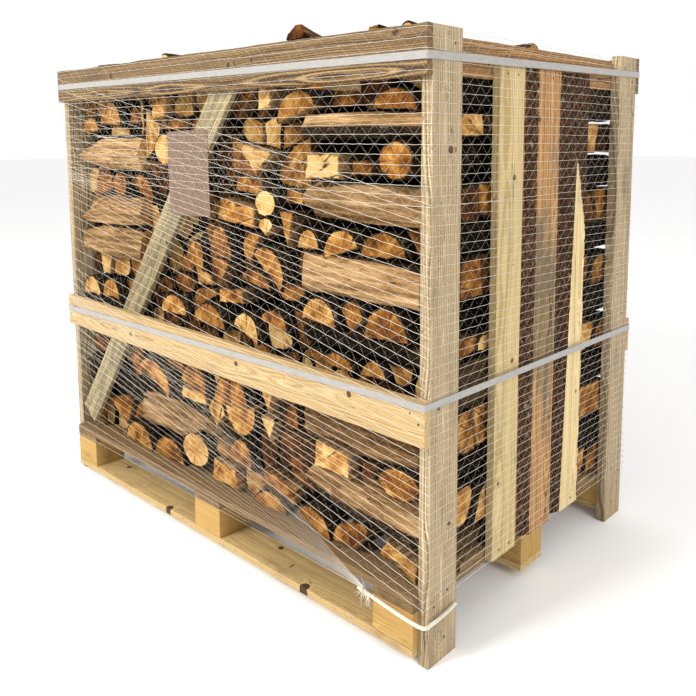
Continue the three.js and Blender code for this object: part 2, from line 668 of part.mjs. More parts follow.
// A log along X as a solid: rings at both ends and a taper's length inside them. Its first end is
// the inner one of a corner pile's log.
function sideLog(log, from, to, bottom, height) {
  const step = Math.sign(to - from) * SIDE_LOG_TAPER;
  const ring = (x, [low, high]) => log.shape.map(([v, w]) => {
    const z = bottom + height * (low + (high - low) * w);
    return new THREE.Vector3(x, -STACK_HALF_Y + log.depth * v, z);
  });
  const whole = [0, 1];
  return loft([
    ring(from, log.ends[0]), ring(from + step, whole), ring(to - step, whole), ring(to, log.ends[1]),
  ]);
}

// The logs that stay in the stack: corner piles, middle rows of the front and back, and the rows
// between the piles at the ends
function stackPieces() {
  const outlines = FRONT_LOGS.map(endOutline);
  const pieces = outlines.map((outline, i) => {
    return logPrism(outline, "y", -STACK_HALF_Y + FRONT_LOGS[i][6], -CRIB_INNER_Y);
  });
  const { low, high, bottom, top } = MIDDLE_SIDE_AREA;
  pieces.push(sideLog(MIDDLE_SIDE_LOG, low, high, bottom, top - bottom));
  outlines.push([[low, bottom], [high, bottom], [high, top], [low, top]]);
  for (const pile of PILES) {
    pile.courses.forEach((course, i) => {
      const axis = course[2];
      const area = pileArea(pile, course, axis);
      const first = pile.first + i * 50;
      if (axis === "y" && pile.sy < 0) {
        pieces.push(...fillIn(area, outlines, first));
      } else if (axis === "y") {
        const span = [pile.sy * CRIB_INNER_Y, pile.sy * STACK_HALF_Y].sort((a, b) => a - b);
        pieces.push(...logsIn(area, "y", span[0], span[1], pile.sy, first, PILE_LOGS));
      } else {
        const span = [pile.sx * CRIB_INNER_X, pile.sx * STACK_HALF_X].sort((a, b) => a - b);
        pieces.push(...logsIn(area, "x", span[0], span[1], pile.sx, first, PILE_LOGS));
      }
    });
  }
  const middle = { low: -CRIB_INNER_X, high: CRIB_INNER_X, bottom: STACK_LOW, top: STACK_TOP };
  pieces.push(...fillIn(middle, outlines, 3300));
  pieces.push(...logsIn(middle, "y", CRIB_INNER_Y, STACK_HALF_Y, 1, 4300, ROW_LOGS));
  const end = { low: -CRIB_INNER_Y, high: CRIB_INNER_Y, bottom: STACK_LOW, top: STACK_TOP };
  pieces.push(...logsIn(end, "x", CRIB_INNER_X, STACK_HALF_X, 1, 5300, ROW_LOGS));
  pieces.push(...logsIn(end, "x", -STACK_HALF_X, -CRIB_INNER_X, -1, 6300, ROW_LOGS));
  const upper = { low: -CRIB_INNER_Y, high: CRIB_INNER_Y, bottom: STACK_TOP - UPPER_ROW, top: STACK_TOP };
  pieces.push(...logsIn(upper, "x", -CRIB_INNER_X + LOG_GAP, -LOG_GAP / 2, 0, 7300, ROW_LOGS));
  pieces.push(...logsIn(upper, "x", LOG_GAP / 2, CRIB_INNER_X - LOG_GAP, 0, 7400, ROW_LOGS));
  return pieces;
}

// The slot in the stack that holds a front side log
function sideLogSlot(log) {
  const pile = PILES[log.pile];
  const [bottom, top] = pile.courses[log.course];
  const xs = [pile.sx * CRIB_INNER_X, pile.sx * (STACK_HALF_X + SLOT_OVERRUN)].sort((a, b) => a - b);
  return { xs, bottom, top, front: -STACK_HALF_Y - SLOT_OVERRUN, back: -STACK_HALF_Y + log.depth + LOG_GAP };
}

function buildStack() {
  const core = block(
    [-STACK_HALF_X + CORE_INSET, -STACK_HALF_Y + CORE_INSET, STACK_LOW],
    [STACK_HALF_X - CORE_INSET, STACK_HALF_Y - CORE_INSET, STACK_TOP - CORE_INSET],
  );
  let stack = wasm.Manifold.union([core, ...stackPieces()].map(toSolid));
  for (const log of FRONT_SIDE_LOGS) {
    const slot = sideLogSlot(log);
    const hole = block([slot.xs[0], slot.front, slot.bottom], [slot.xs[1], slot.back, slot.top]);
    stack = stack.subtract(toSolid(hole));
    const { sx } = PILES[log.pile];
    const inner = sx * (CRIB_INNER_X + SIDE_LOG_INSET.inner);
    const outer = sx * (STACK_HALF_X - SIDE_LOG_INSET.outer);
    const height = slot.top - slot.bottom - 2 * GAP;
    place(`log_${log.name}`, sideLog(log, inner, outer, slot.bottom + GAP, height), LOG_WOOD);
  }
  place("log_stack", toGeometry(stack), STACK_WOOD);
}

// Loose logs on top: middle, turn about Z in degrees, width and height. The first one leans on the
// front top board: it dips towards its far end, and the middle of its underside is lifted off the
// stack. Some are lower at their far end, by the share farHeight.
const LOOSE_LOGS = [
  { x: 365, y: -313, turn: 90, width: 56, height: 34, dip: 16, lift: 46.4, farHeight: 1 },
  { x: -255, y: 190, turn: 130, width: 104, height: 98, dip: 0, lift: 0, farHeight: 1 },
  { x: 510, y: -215, turn: 90, width: 80, height: 117, dip: 0, lift: 0, farHeight: 0.7 },
  { x: 606, y: -216, turn: 90, width: 98, height: 116, dip: 0, lift: 0, farHeight: 0.55 },
  { x: -440, y: -385, turn: 4, width: 96, height: 108, dip: 0, lift: 0, farHeight: 0.9 },
  { x: -175, y: -272, turn: 84, width: 96, height: 108, dip: 0, lift: 0, farHeight: 0.8 },
  { x: 505, y: 40, turn: 172, width: 100, height: 100, dip: 0, lift: 0, farHeight: 0.9 },
];

function buildLooseLogs() {
  const half = LOG_LENGTH / 2;
  const outline = [[-0.5, 0], [0.5, 0], [0.46, 0.42], [0.12, 0.98], [-0.2, 1], [-0.47, 0.45]];
  const turned = THREE.MathUtils.degToRad;
  LOOSE_LOGS.forEach((log, i) => {
    const ring = (x, share) => outline.map(([u, v]) => {
      return new THREE.Vector3(x, u * log.width, v * log.height * share);
    });
    const mesh = place(`loose_log_${i + 1}`, loft([ring(-half, 1), ring(half, log.farHeight)]), LOG_WOOD);
    mesh.position.set(log.x, log.y, STACK_TOP + GAP + log.lift);
    mesh.rotation.set(0, turned(log.dip), turned(log.turn), "ZYX");
  });
}

buildPallet();
buildFrame();
buildBraces();
buildSides();
buildStraps();
buildNet();
buildLabel();
buildStack();
buildLooseLogs();

// The origin goes under the middle of the whole
const whole = new THREE.Box3().setFromObject(crate);
crate.position.set(-(whole.min.x + whole.max.x) / 2, -(whole.min.y + whole.max.y) / 2, -whole.min.z);
crate.updateMatrixWorld(true);

export default crate;
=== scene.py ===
"""The looks of a crate of split firewood: separate logs, sawn boards, a knitted net and straps."""
import bpy
import math
import numpy as np
from mathutils import Matrix, Vector, noise


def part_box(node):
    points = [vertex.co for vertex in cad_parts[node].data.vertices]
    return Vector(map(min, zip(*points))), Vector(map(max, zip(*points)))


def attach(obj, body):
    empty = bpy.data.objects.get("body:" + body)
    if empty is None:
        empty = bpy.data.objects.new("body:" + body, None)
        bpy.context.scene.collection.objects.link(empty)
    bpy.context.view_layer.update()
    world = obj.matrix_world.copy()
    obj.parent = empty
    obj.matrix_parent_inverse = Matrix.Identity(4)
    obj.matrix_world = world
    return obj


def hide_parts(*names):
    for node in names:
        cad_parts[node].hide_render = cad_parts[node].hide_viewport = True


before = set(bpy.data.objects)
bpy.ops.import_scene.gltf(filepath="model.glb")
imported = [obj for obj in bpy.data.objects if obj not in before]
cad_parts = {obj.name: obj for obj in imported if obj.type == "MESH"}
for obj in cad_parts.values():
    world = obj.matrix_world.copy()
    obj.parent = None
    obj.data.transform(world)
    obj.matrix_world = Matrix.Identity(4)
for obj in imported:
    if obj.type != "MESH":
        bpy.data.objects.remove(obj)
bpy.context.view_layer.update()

# Sizes in metres, as in the solids
HALF_LENGTH = 0.7373
HALF_DEPTH = 0.4825
POST_FRONT = 0.4647
STACK_HALF_X = 0.708
STACK_HALF_Y = 0.4457
LOG_LENGTH = 0.335
CRIB_X = STACK_HALF_X - LOG_LENGTH - 0.026
CRIB_Y = STACK_HALF_Y - LOG_LENGTH
STACK_LOW = 0.1572
STACK_TOP = 1.225
LOG_GAP = 0.009
LOG_SPACING = 0.104
TOP_DROP = 0.034

# How unevenly the logs' ends stand back from the stack's face, and the fewest sides of a log
ROW_LOGS = (0.040, 3)
PILE_LOGS = (0.012, 4)

# Logs that fill the front between the given ends: pitch, least room to the given ends, least area of
# an end, how far they stand back at least and how much more some do, most sides, and lightness,
# lowered as painted shade in their recess
FILL_SPACING = 0.078
FILL_APART = 0.012
FILL_LEAST = 0.0014
FILL_BACK = 0.030
FILL_SPREAD = 0.016
FILL_SIDES = 5
FILL_SHADED_LIGHT = 0.75

# How much darker than at its end a log is painted deep inside the stack, as painted shade, and how far below the
# top none is
PAINTED_SHADE = 0.72
UNSHADED_TOP = 0.12

# Seeds of the logs' random draws, of which each group has its own from here on
SIDE_SEED = 8000
MIDDLE_SIDE_SEED = 8090
FRONT_SEED = 8100
FRONT_FILL_SEED = 3300
LOOSE_SEED = 9000

# The crate's own middle in the frame
MIDDLE = Vector((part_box("post_front_right")[1].x - HALF_LENGTH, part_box("deck_board_6")[1].y - HALF_DEPTH, 0))


# Node trees
class Value:
    """What a node gives, with plain arithmetic."""

    def __init__(self, tree, socket):
        self.tree = tree
        self.socket = socket

    def __add__(self, other):
        return self.tree.math("ADD", self, other)

    def __sub__(self, other):
        return self.tree.math("SUBTRACT", self, other)

    def __mul__(self, other):
        return self.tree.math("MULTIPLY", self, other)

    def __truediv__(self, other):
        return self.tree.math("DIVIDE", self, other)


class Tree:
    def __init__(self, name):
        self.material = bpy.data.materials.new(name)
        self.material.use_nodes = True
        self.nodes = self.material.node_tree.nodes
        self.links = self.material.node_tree.links
        self.nodes.clear()
        out = self.nodes.new("ShaderNodeOutputMaterial")
        self.shader = self.nodes.new("ShaderNodeBsdfPrincipled")
        self.links.new(self.shader.outputs[0], out.inputs[0])

    def put(self, socket, value):
        if isinstance(value, Value):
            self.links.new(value.socket, socket)
        else:
            socket.default_value = value

    def node(self, kind, output, inputs, **settings):
        n = self.nodes.new(kind)
        for key, value in settings.items():
            setattr(n, key, value)
        for key, value in inputs.items():
            self.put(n.inputs[key], value)
        return Value(self, n.outputs[output])

    def attribute(self, name):
        return self.node("ShaderNodeAttribute", "Vector", {}, attribute_name=name)

    def math(self, operation, a, b=0.0):
        return self.node("ShaderNodeMath", 0, {0: a, 1: b}, operation=operation)

    def scaled(self, vector, factors):
        return self.node("ShaderNodeVectorMath", 0, {0: vector, 1: factors}, operation="MULTIPLY")

    def moved(self, vector, by):
        return self.node("ShaderNodeVectorMath", 0, {0: vector, 1: by}, operation="ADD")

    def parts(self, vector):
        n = self.nodes.new("ShaderNodeSeparateXYZ")
        self.put(n.inputs[0], vector)
        return [Value(self, output) for output in n.outputs]

    def vector(self, x, y, z):
        return self.node("ShaderNodeCombineXYZ", 0, {0: x, 1: y, 2: z})

    def noise(self, vector, detail, roughness=0.55):
        inputs = {"Vector": vector, "Scale": 1.0, "Detail": detail, "Roughness": roughness}
        return self.node("ShaderNodeTexNoise", "Fac", inputs)

    def bands(self, w, detail=2.0, roughness=0.6):
        inputs = {"W": w, "Scale": 1.0, "Detail": detail, "Roughness": roughness}
        return self.node("ShaderNodeTexNoise", "Fac", inputs, noise_dimensions="1D")

    def cells(self, vector):
        inputs = {"Vector": vector, "Scale": 1.0}
        return self.node("ShaderNodeTexVoronoi", "Distance", inputs, feature="DISTANCE_TO_EDGE")

    def step(self, value, low, high, bottom=0.0, top=1.0):
        """From bottom to top while value goes from low to high."""
        inputs = {"Value": value, "From Min": low, "From Max": high, "To Min": bottom, "To Max": top}
        return self.node("ShaderNodeMapRange", "Result", inputs, interpolation_type="SMOOTHSTEP")

    def mix(self, share, a, b, blend="MIX"):
        a, b = ((*color, 1) if isinstance(color, tuple) else color for color in (a, b))
        return self.node("ShaderNodeMix", 2, {0: share, 6: a, 7: b}, data_type="RGBA", blend_type=blend)

    def ramp(self, value, stops):
        n = self.nodes.new("ShaderNodeValToRGB")
        self.put(n.inputs[0], value)
        elements = n.color_ramp.elements
        while len(elements) < len(stops):
            elements.new(0.5)
        for element, (place, color) in zip(elements, stops):
            element.position = place
            element.color = (*color, 1)
        return Value(self, n.outputs["Color"])

    def finish(self, color, roughness, height=None, strength=0.5, distance=0.001, gloss=0.5):
        self.put(self.shader.inputs["Base Color"], color)
        self.put(self.shader.inputs["Specular IOR Level"], gloss)
        self.put(self.shader.inputs["Roughness"], roughness)
        if height is not None:
            relief = {"Height": height, "Strength": strength, "Distance": distance}
            self.put(self.shader.inputs["Normal"], self.node("ShaderNodeBump", 0, relief))
        return self.material


class WoodTree(Tree):
    """Each wooden piece carries where a point lies in its tree: "grain" is along the stem and across
    it from the pith, "look" is its tone or age, its lightness, which also holds painted shade deep in the
    stack, and how near it is to a log's rim."""

    def __init__(self, name):
        super().__init__(name)
        self.grain = self.attribute("grain")
        self.look = self.parts(self.attribute("look"))

    def fibres(self, along, across, detail, roughness=0.55, grain=None):
        """Noise with so many swings a metre along the stem and across it."""
        return self.noise(self.scaled(grain or self.grain, (along, across, across)), detail, roughness)

    def ring_radius(self, wander):
        """How far a point lies from the pith, with slow swings along the stem."""
        _, u, v = self.parts(self.grain)
        return self.math("SQRT", u * u + v * v) + self.fibres(2.2, 9, 2) * wander

    def lit(self, color):
        """The color, lighter or darker as the piece asks, which includes painted shade deep in the stack."""
        light = self.look[1]
        return self.mix(1.0, color, self.vector(light, light, light), "MULTIPLY")


def darker(color, share):
    return tuple(c * share for c in color)


def sawn_wood(name, colors, stain, knot_color, speckle, mould=0.06, weather=(0.5, 0.44, 0.36)):
    """Sawn softwood: growth lines that follow the stem, knots, fibres, cracks, saw marks and stains.
    colors are the lines' dark, middle and pale shades, speckle is how dark the dots of mould are and
    mould how far they spread, and the color of aged wood is multiplied by weather."""
    t = WoodTree(name)
    dark, middle, pale = colors
    knot_x, knot_y, knot_radius = t.parts(t.attribute("knot"))
    near = t.math("SQRT", knot_x * knot_x + knot_y * knot_y) / knot_radius
    near = near + (t.fibres(90, 90, 2) - 0.5) * 0.5
    radius = t.ring_radius(0.035) + t.step(near, 0.6, 3.2, 1, 0) * 0.012
    lines = t.bands(radius * 420, 2.5, 0.7)
    fibre = t.fibres(14, 700, 3)
    patch = t.fibres(5, 16, 3, 0.6)
    color = t.ramp(lines, ((0.36, dark), (0.50, middle), (0.63, pale)))
    color = t.mix(t.step(fibre, 0.42, 0.72, 0, 0.5), color, dark)
    color = t.mix(t.step(t.bands(radius * 95), 0.48, 0.66, 0, 0.5), color, dark)
    color = t.mix(t.step(patch, 0.5, 0.72, 0, 0.7), color, stain)

    crack = t.step(t.math("ABSOLUTE", t.fibres(1.1, 30, 2, 0.5) - 0.5), 0.0, 0.005, 1, 0)
    crack = crack * t.step(t.fibres(3.5, 14, 1), 0.54, 0.60)
    color = t.mix(crack * 0.8, color, darker(dark, 0.3))
    dots = t.step(t.fibres(170, 420, 2, 0.7), 0.62 - mould, 0.70)
    dots = dots * t.step(t.fibres(7, 22, 2), 0.44 - mould, 0.64 - mould)
    color = t.mix(dots * speckle, color, (0.07, 0.055, 0.036))

    knot = t.mix(t.step(t.bands(near * 5, 1), 0.35, 0.65), knot_color, darker(knot_color, 0.45))
    knot_rim = t.step(near, 0.62, 0.9) * t.step(near, 0.95, 1.25, 1, 0)
    knot = t.mix(knot_rim, knot, (0.045, 0.022, 0.01))
    color = t.mix(t.step(near, 1.0, 1.2, 1, 0), color, knot)

    weathered = t.look[0] + (patch - 0.5) * 2.4
    color = t.mix(t.step(weathered, 0.30, 0.90, 0, 0.95), color, t.mix(1.0, color, weather, "MULTIPLY"))
    saw_marks = t.fibres(260, 12, 2)
    height = fibre * 0.7 + saw_marks * 0.5 + lines * 0.35 - crack
    return t.finish(t.lit(color), t.step(fibre, 0.2, 0.8, 0.66, 0.86), height, 0.55, 0.0012, gloss=0.32)


def log_end():
    """Sawn end of a log: growth rings, rays, drying cracks and a darker rim."""
    t = WoodTree("log_end")
    tone, _, rim = t.look
    along, u, v = t.parts(t.grain)
    radius = t.ring_radius(0.010)
    lines = t.bands(radius * 520)
    turn = t.math("ARCTAN2", v, u)
    rays = t.noise(t.vector(turn * 9, radius * 16, along), 3, 0.6)
    crack = t.noise(t.vector(turn * 2.4, radius * 2, along * 9), 1)
    crack = t.step(t.math("ABSOLUTE", crack - 0.5), 0.0, 0.018, 1, 0) * t.step(rays, 0.42, 0.54)
    patch = t.fibres(3, 24, 3, 0.6)
    saw_marks = t.noise(t.scaled(t.grain, (40, 260, 900)), 3, 0.65)
    level = tone + (lines - 0.5) * 0.35 + (patch - 0.5) * 1.4 + (rays - 0.5) * 0.7
    color = t.ramp(level, (
        (0.0, (0.014, 0.004, 0.001)), (0.25, (0.072, 0.021, 0.003)), (0.45, (0.185, 0.065, 0.008)),
        (0.62, (0.305, 0.133, 0.022)), (0.80, (0.445, 0.235, 0.060)), (1.0, (0.62, 0.40, 0.15))))
    color = t.mix(t.step(saw_marks, 0.5, 0.72, 0, 0.45), color, (0.16, 0.075, 0.025))
    color = t.mix(t.step(rim, 0.93, 1.0, 0, 0.6), color, (0.05, 0.022, 0.008))
    color = t.mix(crack, color, (0.02, 0.009, 0.004))
    height = lines * 0.5 + saw_marks * 0.6 - crack * 1.5
    return t.finish(t.lit(color), 0.86, height, 0.6, 0.0012, gloss=0.1)


def split_face():
    """Split side of a log: torn fibres along the stem, in pale and brownish streaks."""
    t = WoodTree("log_split")
    bent = t.moved(t.grain, t.vector(0.0, t.fibres(9, 14, 2) * 0.03, 0.0))
    streak = t.fibres(1.8, 95, 3, 0.62, bent)
    fibre = t.fibres(9, 480, 3, 0.65, bent)
    torn = t.fibres(14, 130, 4, 0.7, bent)
    patch = t.fibres(5, 18, 3)
    level = t.look[0] * 0.5 + (streak - 0.5) * 1.25 + (patch - 0.5) * 0.8 + 0.20
    color = t.ramp(level, (
        (0.08, (0.018, 0.006, 0.001)), (0.30, (0.082, 0.038, 0.011)), (0.5, (0.205, 0.112, 0.041)),
        (0.68, (0.36, 0.214, 0.092)), (0.9, (0.52, 0.345, 0.172))))
    color = t.mix(t.step(fibre, 0.48, 0.70, 0, 0.5), color, (0.12, 0.056, 0.018))
    color = t.mix(t.step(torn, 0.58, 0.67, 0, 0.85), color, (0.027, 0.011, 0.004))
    height = fibre * 0.5 + torn * 1.1 + streak * 0.9
    return t.finish(t.lit(color), 0.82, height, 1.0, 0.0038, gloss=0.1)


def bark(name, dark, middle, pale):
    """Rough bark: fissures along the stem, plates, pale lichen."""
    t = WoodTree(name)
    warp = t.fibres(30, 60, 3)
    place = t.moved(t.scaled(t.grain, (26, 75, 75)), t.vector(warp * 0.9, warp * 1.6, 0.0))
    plate = t.step(t.cells(place), 0.0, 0.30)
    fine = t.fibres(120, 240, 4, 0.7)
    color = t.mix(plate, dark, middle)
    color = t.mix(t.step(fine, 0.4, 0.72, 0, 0.8), color, pale)
    color = t.mix(t.step(t.fibres(9, 22, 3, 0.6), 0.52, 0.7, 0, 0.65), color, darker(middle, 0.55))
    lichen = t.step(t.fibres(35, 50, 3, 0.6), 0.6, 0.7) * 0.5
    color = t.mix(lichen, color, (0.30, 0.29, 0.22))
    return t.finish(t.lit(color), 0.93, plate * 1.4 + fine * 0.9, 1.0, 0.004, gloss=0.05)


def plain(name, color, other, scale, roughness, relief):
    """Plastic, card or steel: two close shades in a fine mottle, with a low relief."""
    t = Tree(name)
    place = t.node("ShaderNodeTexCoord", "Object", {})
    mottle = t.noise(t.scaled(place, scale), 4, 0.6)
    shade = t.mix(t.step(mottle, 0.35, 0.68), color, other)
    return t.finish(shade, t.step(mottle, 0.3, 0.7, roughness, roughness + 0.12), mottle, relief, 0.0006)


POST_WOOD = sawn_wood("post_wood", ((0.17, 0.115, 0.055), (0.42, 0.325, 0.19), (0.60, 0.485, 0.315)),
                      (0.22, 0.165, 0.092), (0.12, 0.055, 0.022), 0.9, 0.09)
BRACE_WOOD = sawn_wood("brace_wood", ((0.15, 0.12, 0.060), (0.28, 0.225, 0.115), (0.37, 0.30, 0.165)),
                       (0.15, 0.125, 0.07), (0.10, 0.055, 0.025), 1.0, 0.19, (0.76, 0.75, 0.70))
TOP_WOOD = sawn_wood("top_wood", ((0.048, 0.023, 0.008), (0.165, 0.098, 0.038), (0.32, 0.205, 0.088)),
                     (0.08, 0.049, 0.022), (0.05, 0.022, 0.008), 0.9)
MIDDLE_WOOD = sawn_wood("middle_wood", ((0.32, 0.20, 0.08), (0.46, 0.32, 0.145), (0.545, 0.405, 0.21)),
                        (0.35, 0.24, 0.11), (0.131, 0.056, 0.02), 0.5)
SLAT_WOOD = sawn_wood("slat_wood", ((0.38, 0.275, 0.11), (0.55, 0.42, 0.20), (0.66, 0.52, 0.28)),
                      (0.42, 0.34, 0.18), (0.22, 0.12, 0.05), 0.45)
PALE_SLAT_WOOD = sawn_wood("pale_slat_wood", ((0.50, 0.365, 0.155), (0.71, 0.55, 0.27), (0.82, 0.67, 0.375)),
                           (0.60, 0.46, 0.23), (0.20, 0.11, 0.05), 0.35)
ORANGE_WOOD = sawn_wood("orange_wood", ((0.11, 0.040, 0.011), (0.33, 0.172, 0.060), (0.54, 0.335, 0.135)),
                        (0.17, 0.10, 0.05), (0.09, 0.04, 0.015), 0.6, 0.06, (0.46, 0.60, 0.72))
BLOCK_WOOD = sawn_wood("block_wood", ((0.365, 0.214, 0.057), (0.491, 0.301, 0.091), (0.547, 0.361, 0.125)),
                       (0.421, 0.254, 0.074), (0.176, 0.074, 0.017), 0.4)
PALLET_WOOD = sawn_wood("pallet_wood", ((0.36, 0.23, 0.085), (0.58, 0.41, 0.175), (0.70, 0.53, 0.26)),
                        (0.33, 0.22, 0.10), (0.10, 0.045, 0.018), 0.8)
DECK_WOOD = sawn_wood("deck_wood", ((0.115, 0.063, 0.024), (0.215, 0.131, 0.055), (0.31, 0.205, 0.095)),
                      (0.102, 0.062, 0.029), (0.058, 0.025, 0.01), 0.8)
LOG_END = log_end()
LOG_SPLIT = split_face()
LOG_BARK = bark("log_bark", (0.004, 0.0025, 0.001), (0.037, 0.021, 0.011), (0.105, 0.072, 0.044))
RED_BARK = bark("red_bark", (0.012, 0.005, 0.003), (0.070, 0.030, 0.013), (0.17, 0.095, 0.055))
STRAP = plain("strap_plastic", (0.335, 0.325, 0.305), (0.275, 0.266, 0.25), (40, 40, 400), 0.30, 0.25)
THREAD = plain("net_plastic", (0.688, 0.645, 0.55), (0.568, 0.516, 0.421), (300, 300, 300), 0.45, 0.2)
CARD = plain("label_card", (0.170, 0.108, 0.072), (0.137, 0.086, 0.057), (90, 90, 90), 0.62, 0.25)
STEEL = plain("nail_steel", (0.055, 0.042, 0.035), (0.03, 0.022, 0.02), (500, 500, 500), 0.55, 0.4)


# Meshes
MM = 0.001
NO_KNOT = (9.0, 9.0, 0.01)
PLAIN_LOOK = (0.5, 1.0, 0.0)


class Mesh:
    """Gathers rings of points with their faces, materials and attributes, and makes one piece of them."""

    def __init__(self, name, materials):
        self.name = name
        self.materials = materials
        self.points, self.faces, self.slots = [], [], []
        self.values = {"grain": [], "look": [], "knot": []}
        self.count = 0

    def add(self, points, faces, slots, grain, look, knot=None):
        base = self.count
        self.points.append(points)
        self.faces.extend(tuple(base + i for i in face) for face in faces)
        self.slots.extend(slots)
        self.values["grain"].append(grain)
        self.values["look"].append(look)
        self.values["knot"].append(np.tile(NO_KNOT, (len(points), 1)) if knot is None else knot)
        self.count += len(points)

    def add_plain(self, points, faces):
        """Points and faces of something that isn't wood."""
        self.add(points, faces, [0] * len(faces), points, np.tile(PLAIN_LOOK, (len(points), 1)))

    def place(self, slot, replaces=(), sharp=0.6):
        mesh = bpy.data.meshes.new(self.name)
        points = np.concatenate(self.points) + np.array(MIDDLE)
        mesh.from_pydata(points.tolist(), [], self.faces)
        for material in self.materials:
            mesh.materials.append(material)
        mesh.polygons.foreach_set("material_index", self.slots)
        for name, values in self.values.items():
            attribute = mesh.attributes.new(name, "FLOAT_VECTOR", "POINT")
            attribute.data.foreach_set("vector", np.concatenate(values).astype(np.float32).ravel())
        mesh.shade_smooth()
        mesh.set_sharp_from_angle(angle=sharp)
        mesh.update()
        piece = bpy.data.objects.new(self.name, mesh)
        bpy.context.scene.collection.objects.link(piece)
        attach(piece, "root")
        if replaces:
            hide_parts(*replaces)


def chance(n):
    """An even spread of numbers from 0 to 1, the same ones as in the solids."""
    s = math.sin(n * 12.9898 + 78.233) * 43758.5453
    return s - math.floor(s)


def grid_faces(rings, count, flip):
    """Faces between closed rings of equally many points, and the index of the edge that each lies on."""
    faces, edges = [], []
    for r in range(rings - 1):
        for i in range(count):
            a, b = r * count + i, r * count + (i + 1) % count
            face = (a, b, b + count, a + count)
            faces.append(face[::-1] if flip else face)
            edges.append(i)
    return faces, edges


# The share of half a log or board over which a slanting end turns the rings
TILTED = 0.3


def prism(mesh, outline, kinds, basis, start, stop, offset, ring_places, displace, look, grain_shift,
          cap_slot, cap_rings, tilt, knots=(), rim_slot=None, choose=None, fade=None, age=None):
    """A log or board along one direction. The outline lies across it and has a kind for each edge,
    displace moves its points at each ring, and both ends are closed by smaller and smaller rings.
    Edges of rim_slot keep it on the outermost ring of the ends, choose may change a side face, fade
    gives how light a place along it is, which paints shade on logs deep in the stack, and age how
    weathered it is there. knots are places along and across it with a radius, and tilt is how much each
    end slants across and up."""
    along, across, up = (np.array(v, float) for v in basis)
    flip = np.dot(along, np.cross(across, up)) < 0
    outline = np.array(outline)
    count = len(outline)
    middle = outline.mean(0)
    rings = []
    for t in ring_places:
        flat = displace(outline, t)
        at = np.full(count, start + (stop - start) * t)
        lean = max(0.0, abs(t - 0.5) * 2 - 1 + TILTED) / TILTED
        tilt_across, tilt_up = tilt[:2] if t < 0.5 else tilt[2:]
        at = at + lean * (tilt_across * (flat[:, 0] - middle[0]) + tilt_up * (flat[:, 1] - middle[1]))
        rings.append(np.column_stack([at, flat]))
    local = np.concatenate(rings)
    rim = np.ones(len(local))
    faces, edges = grid_faces(len(rings), count, flip)
    slots = [kinds[e] for e in edges]
    if choose is not None:
        for n, face in enumerate(faces):
            slots[n] = choose(slots[n], local[list(face)].mean(0))
    total = len(local)
    for ring, first, backwards in ((rings[0], 0, True), (rings[-1], (len(rings) - 1) * count, False)):
        outer = list(range(first, first + count))
        centre = ring.mean(0)
        for share in cap_rings:
            inner = centre + (ring - centre) * share
            inner[:, 0] += [0.0009 * noise.noise((p[1] * 90, p[2] * 90, p[0] * 9)) for p in inner]
            local = np.concatenate([local, inner])
            rim = np.concatenate([rim, np.full(count, share)])
            now = list(range(total, total + count))
            total += count
            for i in range(count):
                j = (i + 1) % count
                face = (outer[i], outer[j], now[j], now[i])
                faces.append(face[::-1] if backwards != flip else face)
                slots.append(rim_slot if share == cap_rings[0] and kinds[i] == rim_slot else cap_slot)
            outer = now
        local = np.concatenate([local, centre[None]])
        rim = np.append(rim, 0.0)
        for i in range(count):
            face = (outer[i], outer[(i + 1) % count], total)
            faces.append(face[::-1] if backwards != flip else face)
            slots.append(cap_slot)
        total += 1
    placed = np.array(offset) + local[:, :1] * along + local[:, 1:2] * across + local[:, 2:3] * up
    grain = local + np.array(grain_shift)
    light = np.full(total, look[1]) if fade is None else look[1] * fade(local[:, 0])
    tone = np.full(total, look[0]) if age is None else np.array([age(at) for at in local[:, 0]])
    looks = np.column_stack([tone, light, rim])
    knot = np.tile(NO_KNOT, (total, 1))
    if knots:
        marks = np.array(knots)
        gaps = local[:, None, :2] - marks[None, :, :2]
        nearest = np.argmin((gaps ** 2).sum(2), axis=1)
        knot = np.column_stack([gaps[np.arange(total), nearest], marks[nearest, 2]])
    mesh.add(placed, faces, slots, grain, looks, knot)


# Logs
END, SPLIT, BARK = 0, 1, 2
LOG_MATERIALS = (LOG_END, LOG_SPLIT, LOG_BARK)


def clip(polygon, nx, nz, limit):
    """A convex outline without what lies beyond limit in the direction nx, nz."""
    beyond = [x * nx + z * nz - limit for x, z in polygon]
    kept = []
    for i, p in enumerate(polygon):
        j = (i + 1) % len(polygon)
        if beyond[i] <= 0:
            kept.append(p)
        if beyond[i] * beyond[j] < 0:
            t = beyond[i] / (beyond[i] - beyond[j])
            q = polygon[j]
            kept.append((p[0] + (q[0] - p[0]) * t, p[1] + (q[1] - p[1]) * t))
    return kept


def cell(seed, seeds, area):
    """The part of a rectangle nearest to a seed, half a gap away from its neighbours, anticlockwise."""
    left, right, bottom, top = area
    edge = LOG_GAP / 2
    low = bottom if bottom == STACK_LOW else bottom + edge
    high = top if top == STACK_TOP else top - edge
    polygon = [(left + edge, low), (right - edge, low), (right - edge, high), (left + edge, high)]
    for other in seeds:
        far = math.dist(seed, other)
        if far == 0:
            continue
        nx, nz = (other[0] - seed[0]) / far, (other[1] - seed[1]) / far
        polygon = clip(polygon, nx, nz, seed[0] * nx + seed[1] * nz + far / 2 - edge)
    return polygon


def facing_edge(outline, point):
    """Of the edge of a convex outline that faces a point the most: its direction outwards, its place
    along that direction, and how far outside it the point lies."""
    best = (0, 0, 0, -1e9)
    for p, q in zip(outline, outline[1:] + outline[:1]):
        long = math.dist(p, q)
        nx, nz = (q[1] - p[1]) / long, (p[0] - q[0]) / long
        place = p[0] * nx + p[1] * nz
        outside = point[0] * nx + point[1] * nz - place
        if outside > best[3]:
            best = (nx, nz, place, outside)
    return best


def outline_area(outline):
    return sum(p[0] * q[1] - q[0] * p[1] for p, q in zip(outline, outline[1:] + outline[:1])) / 2


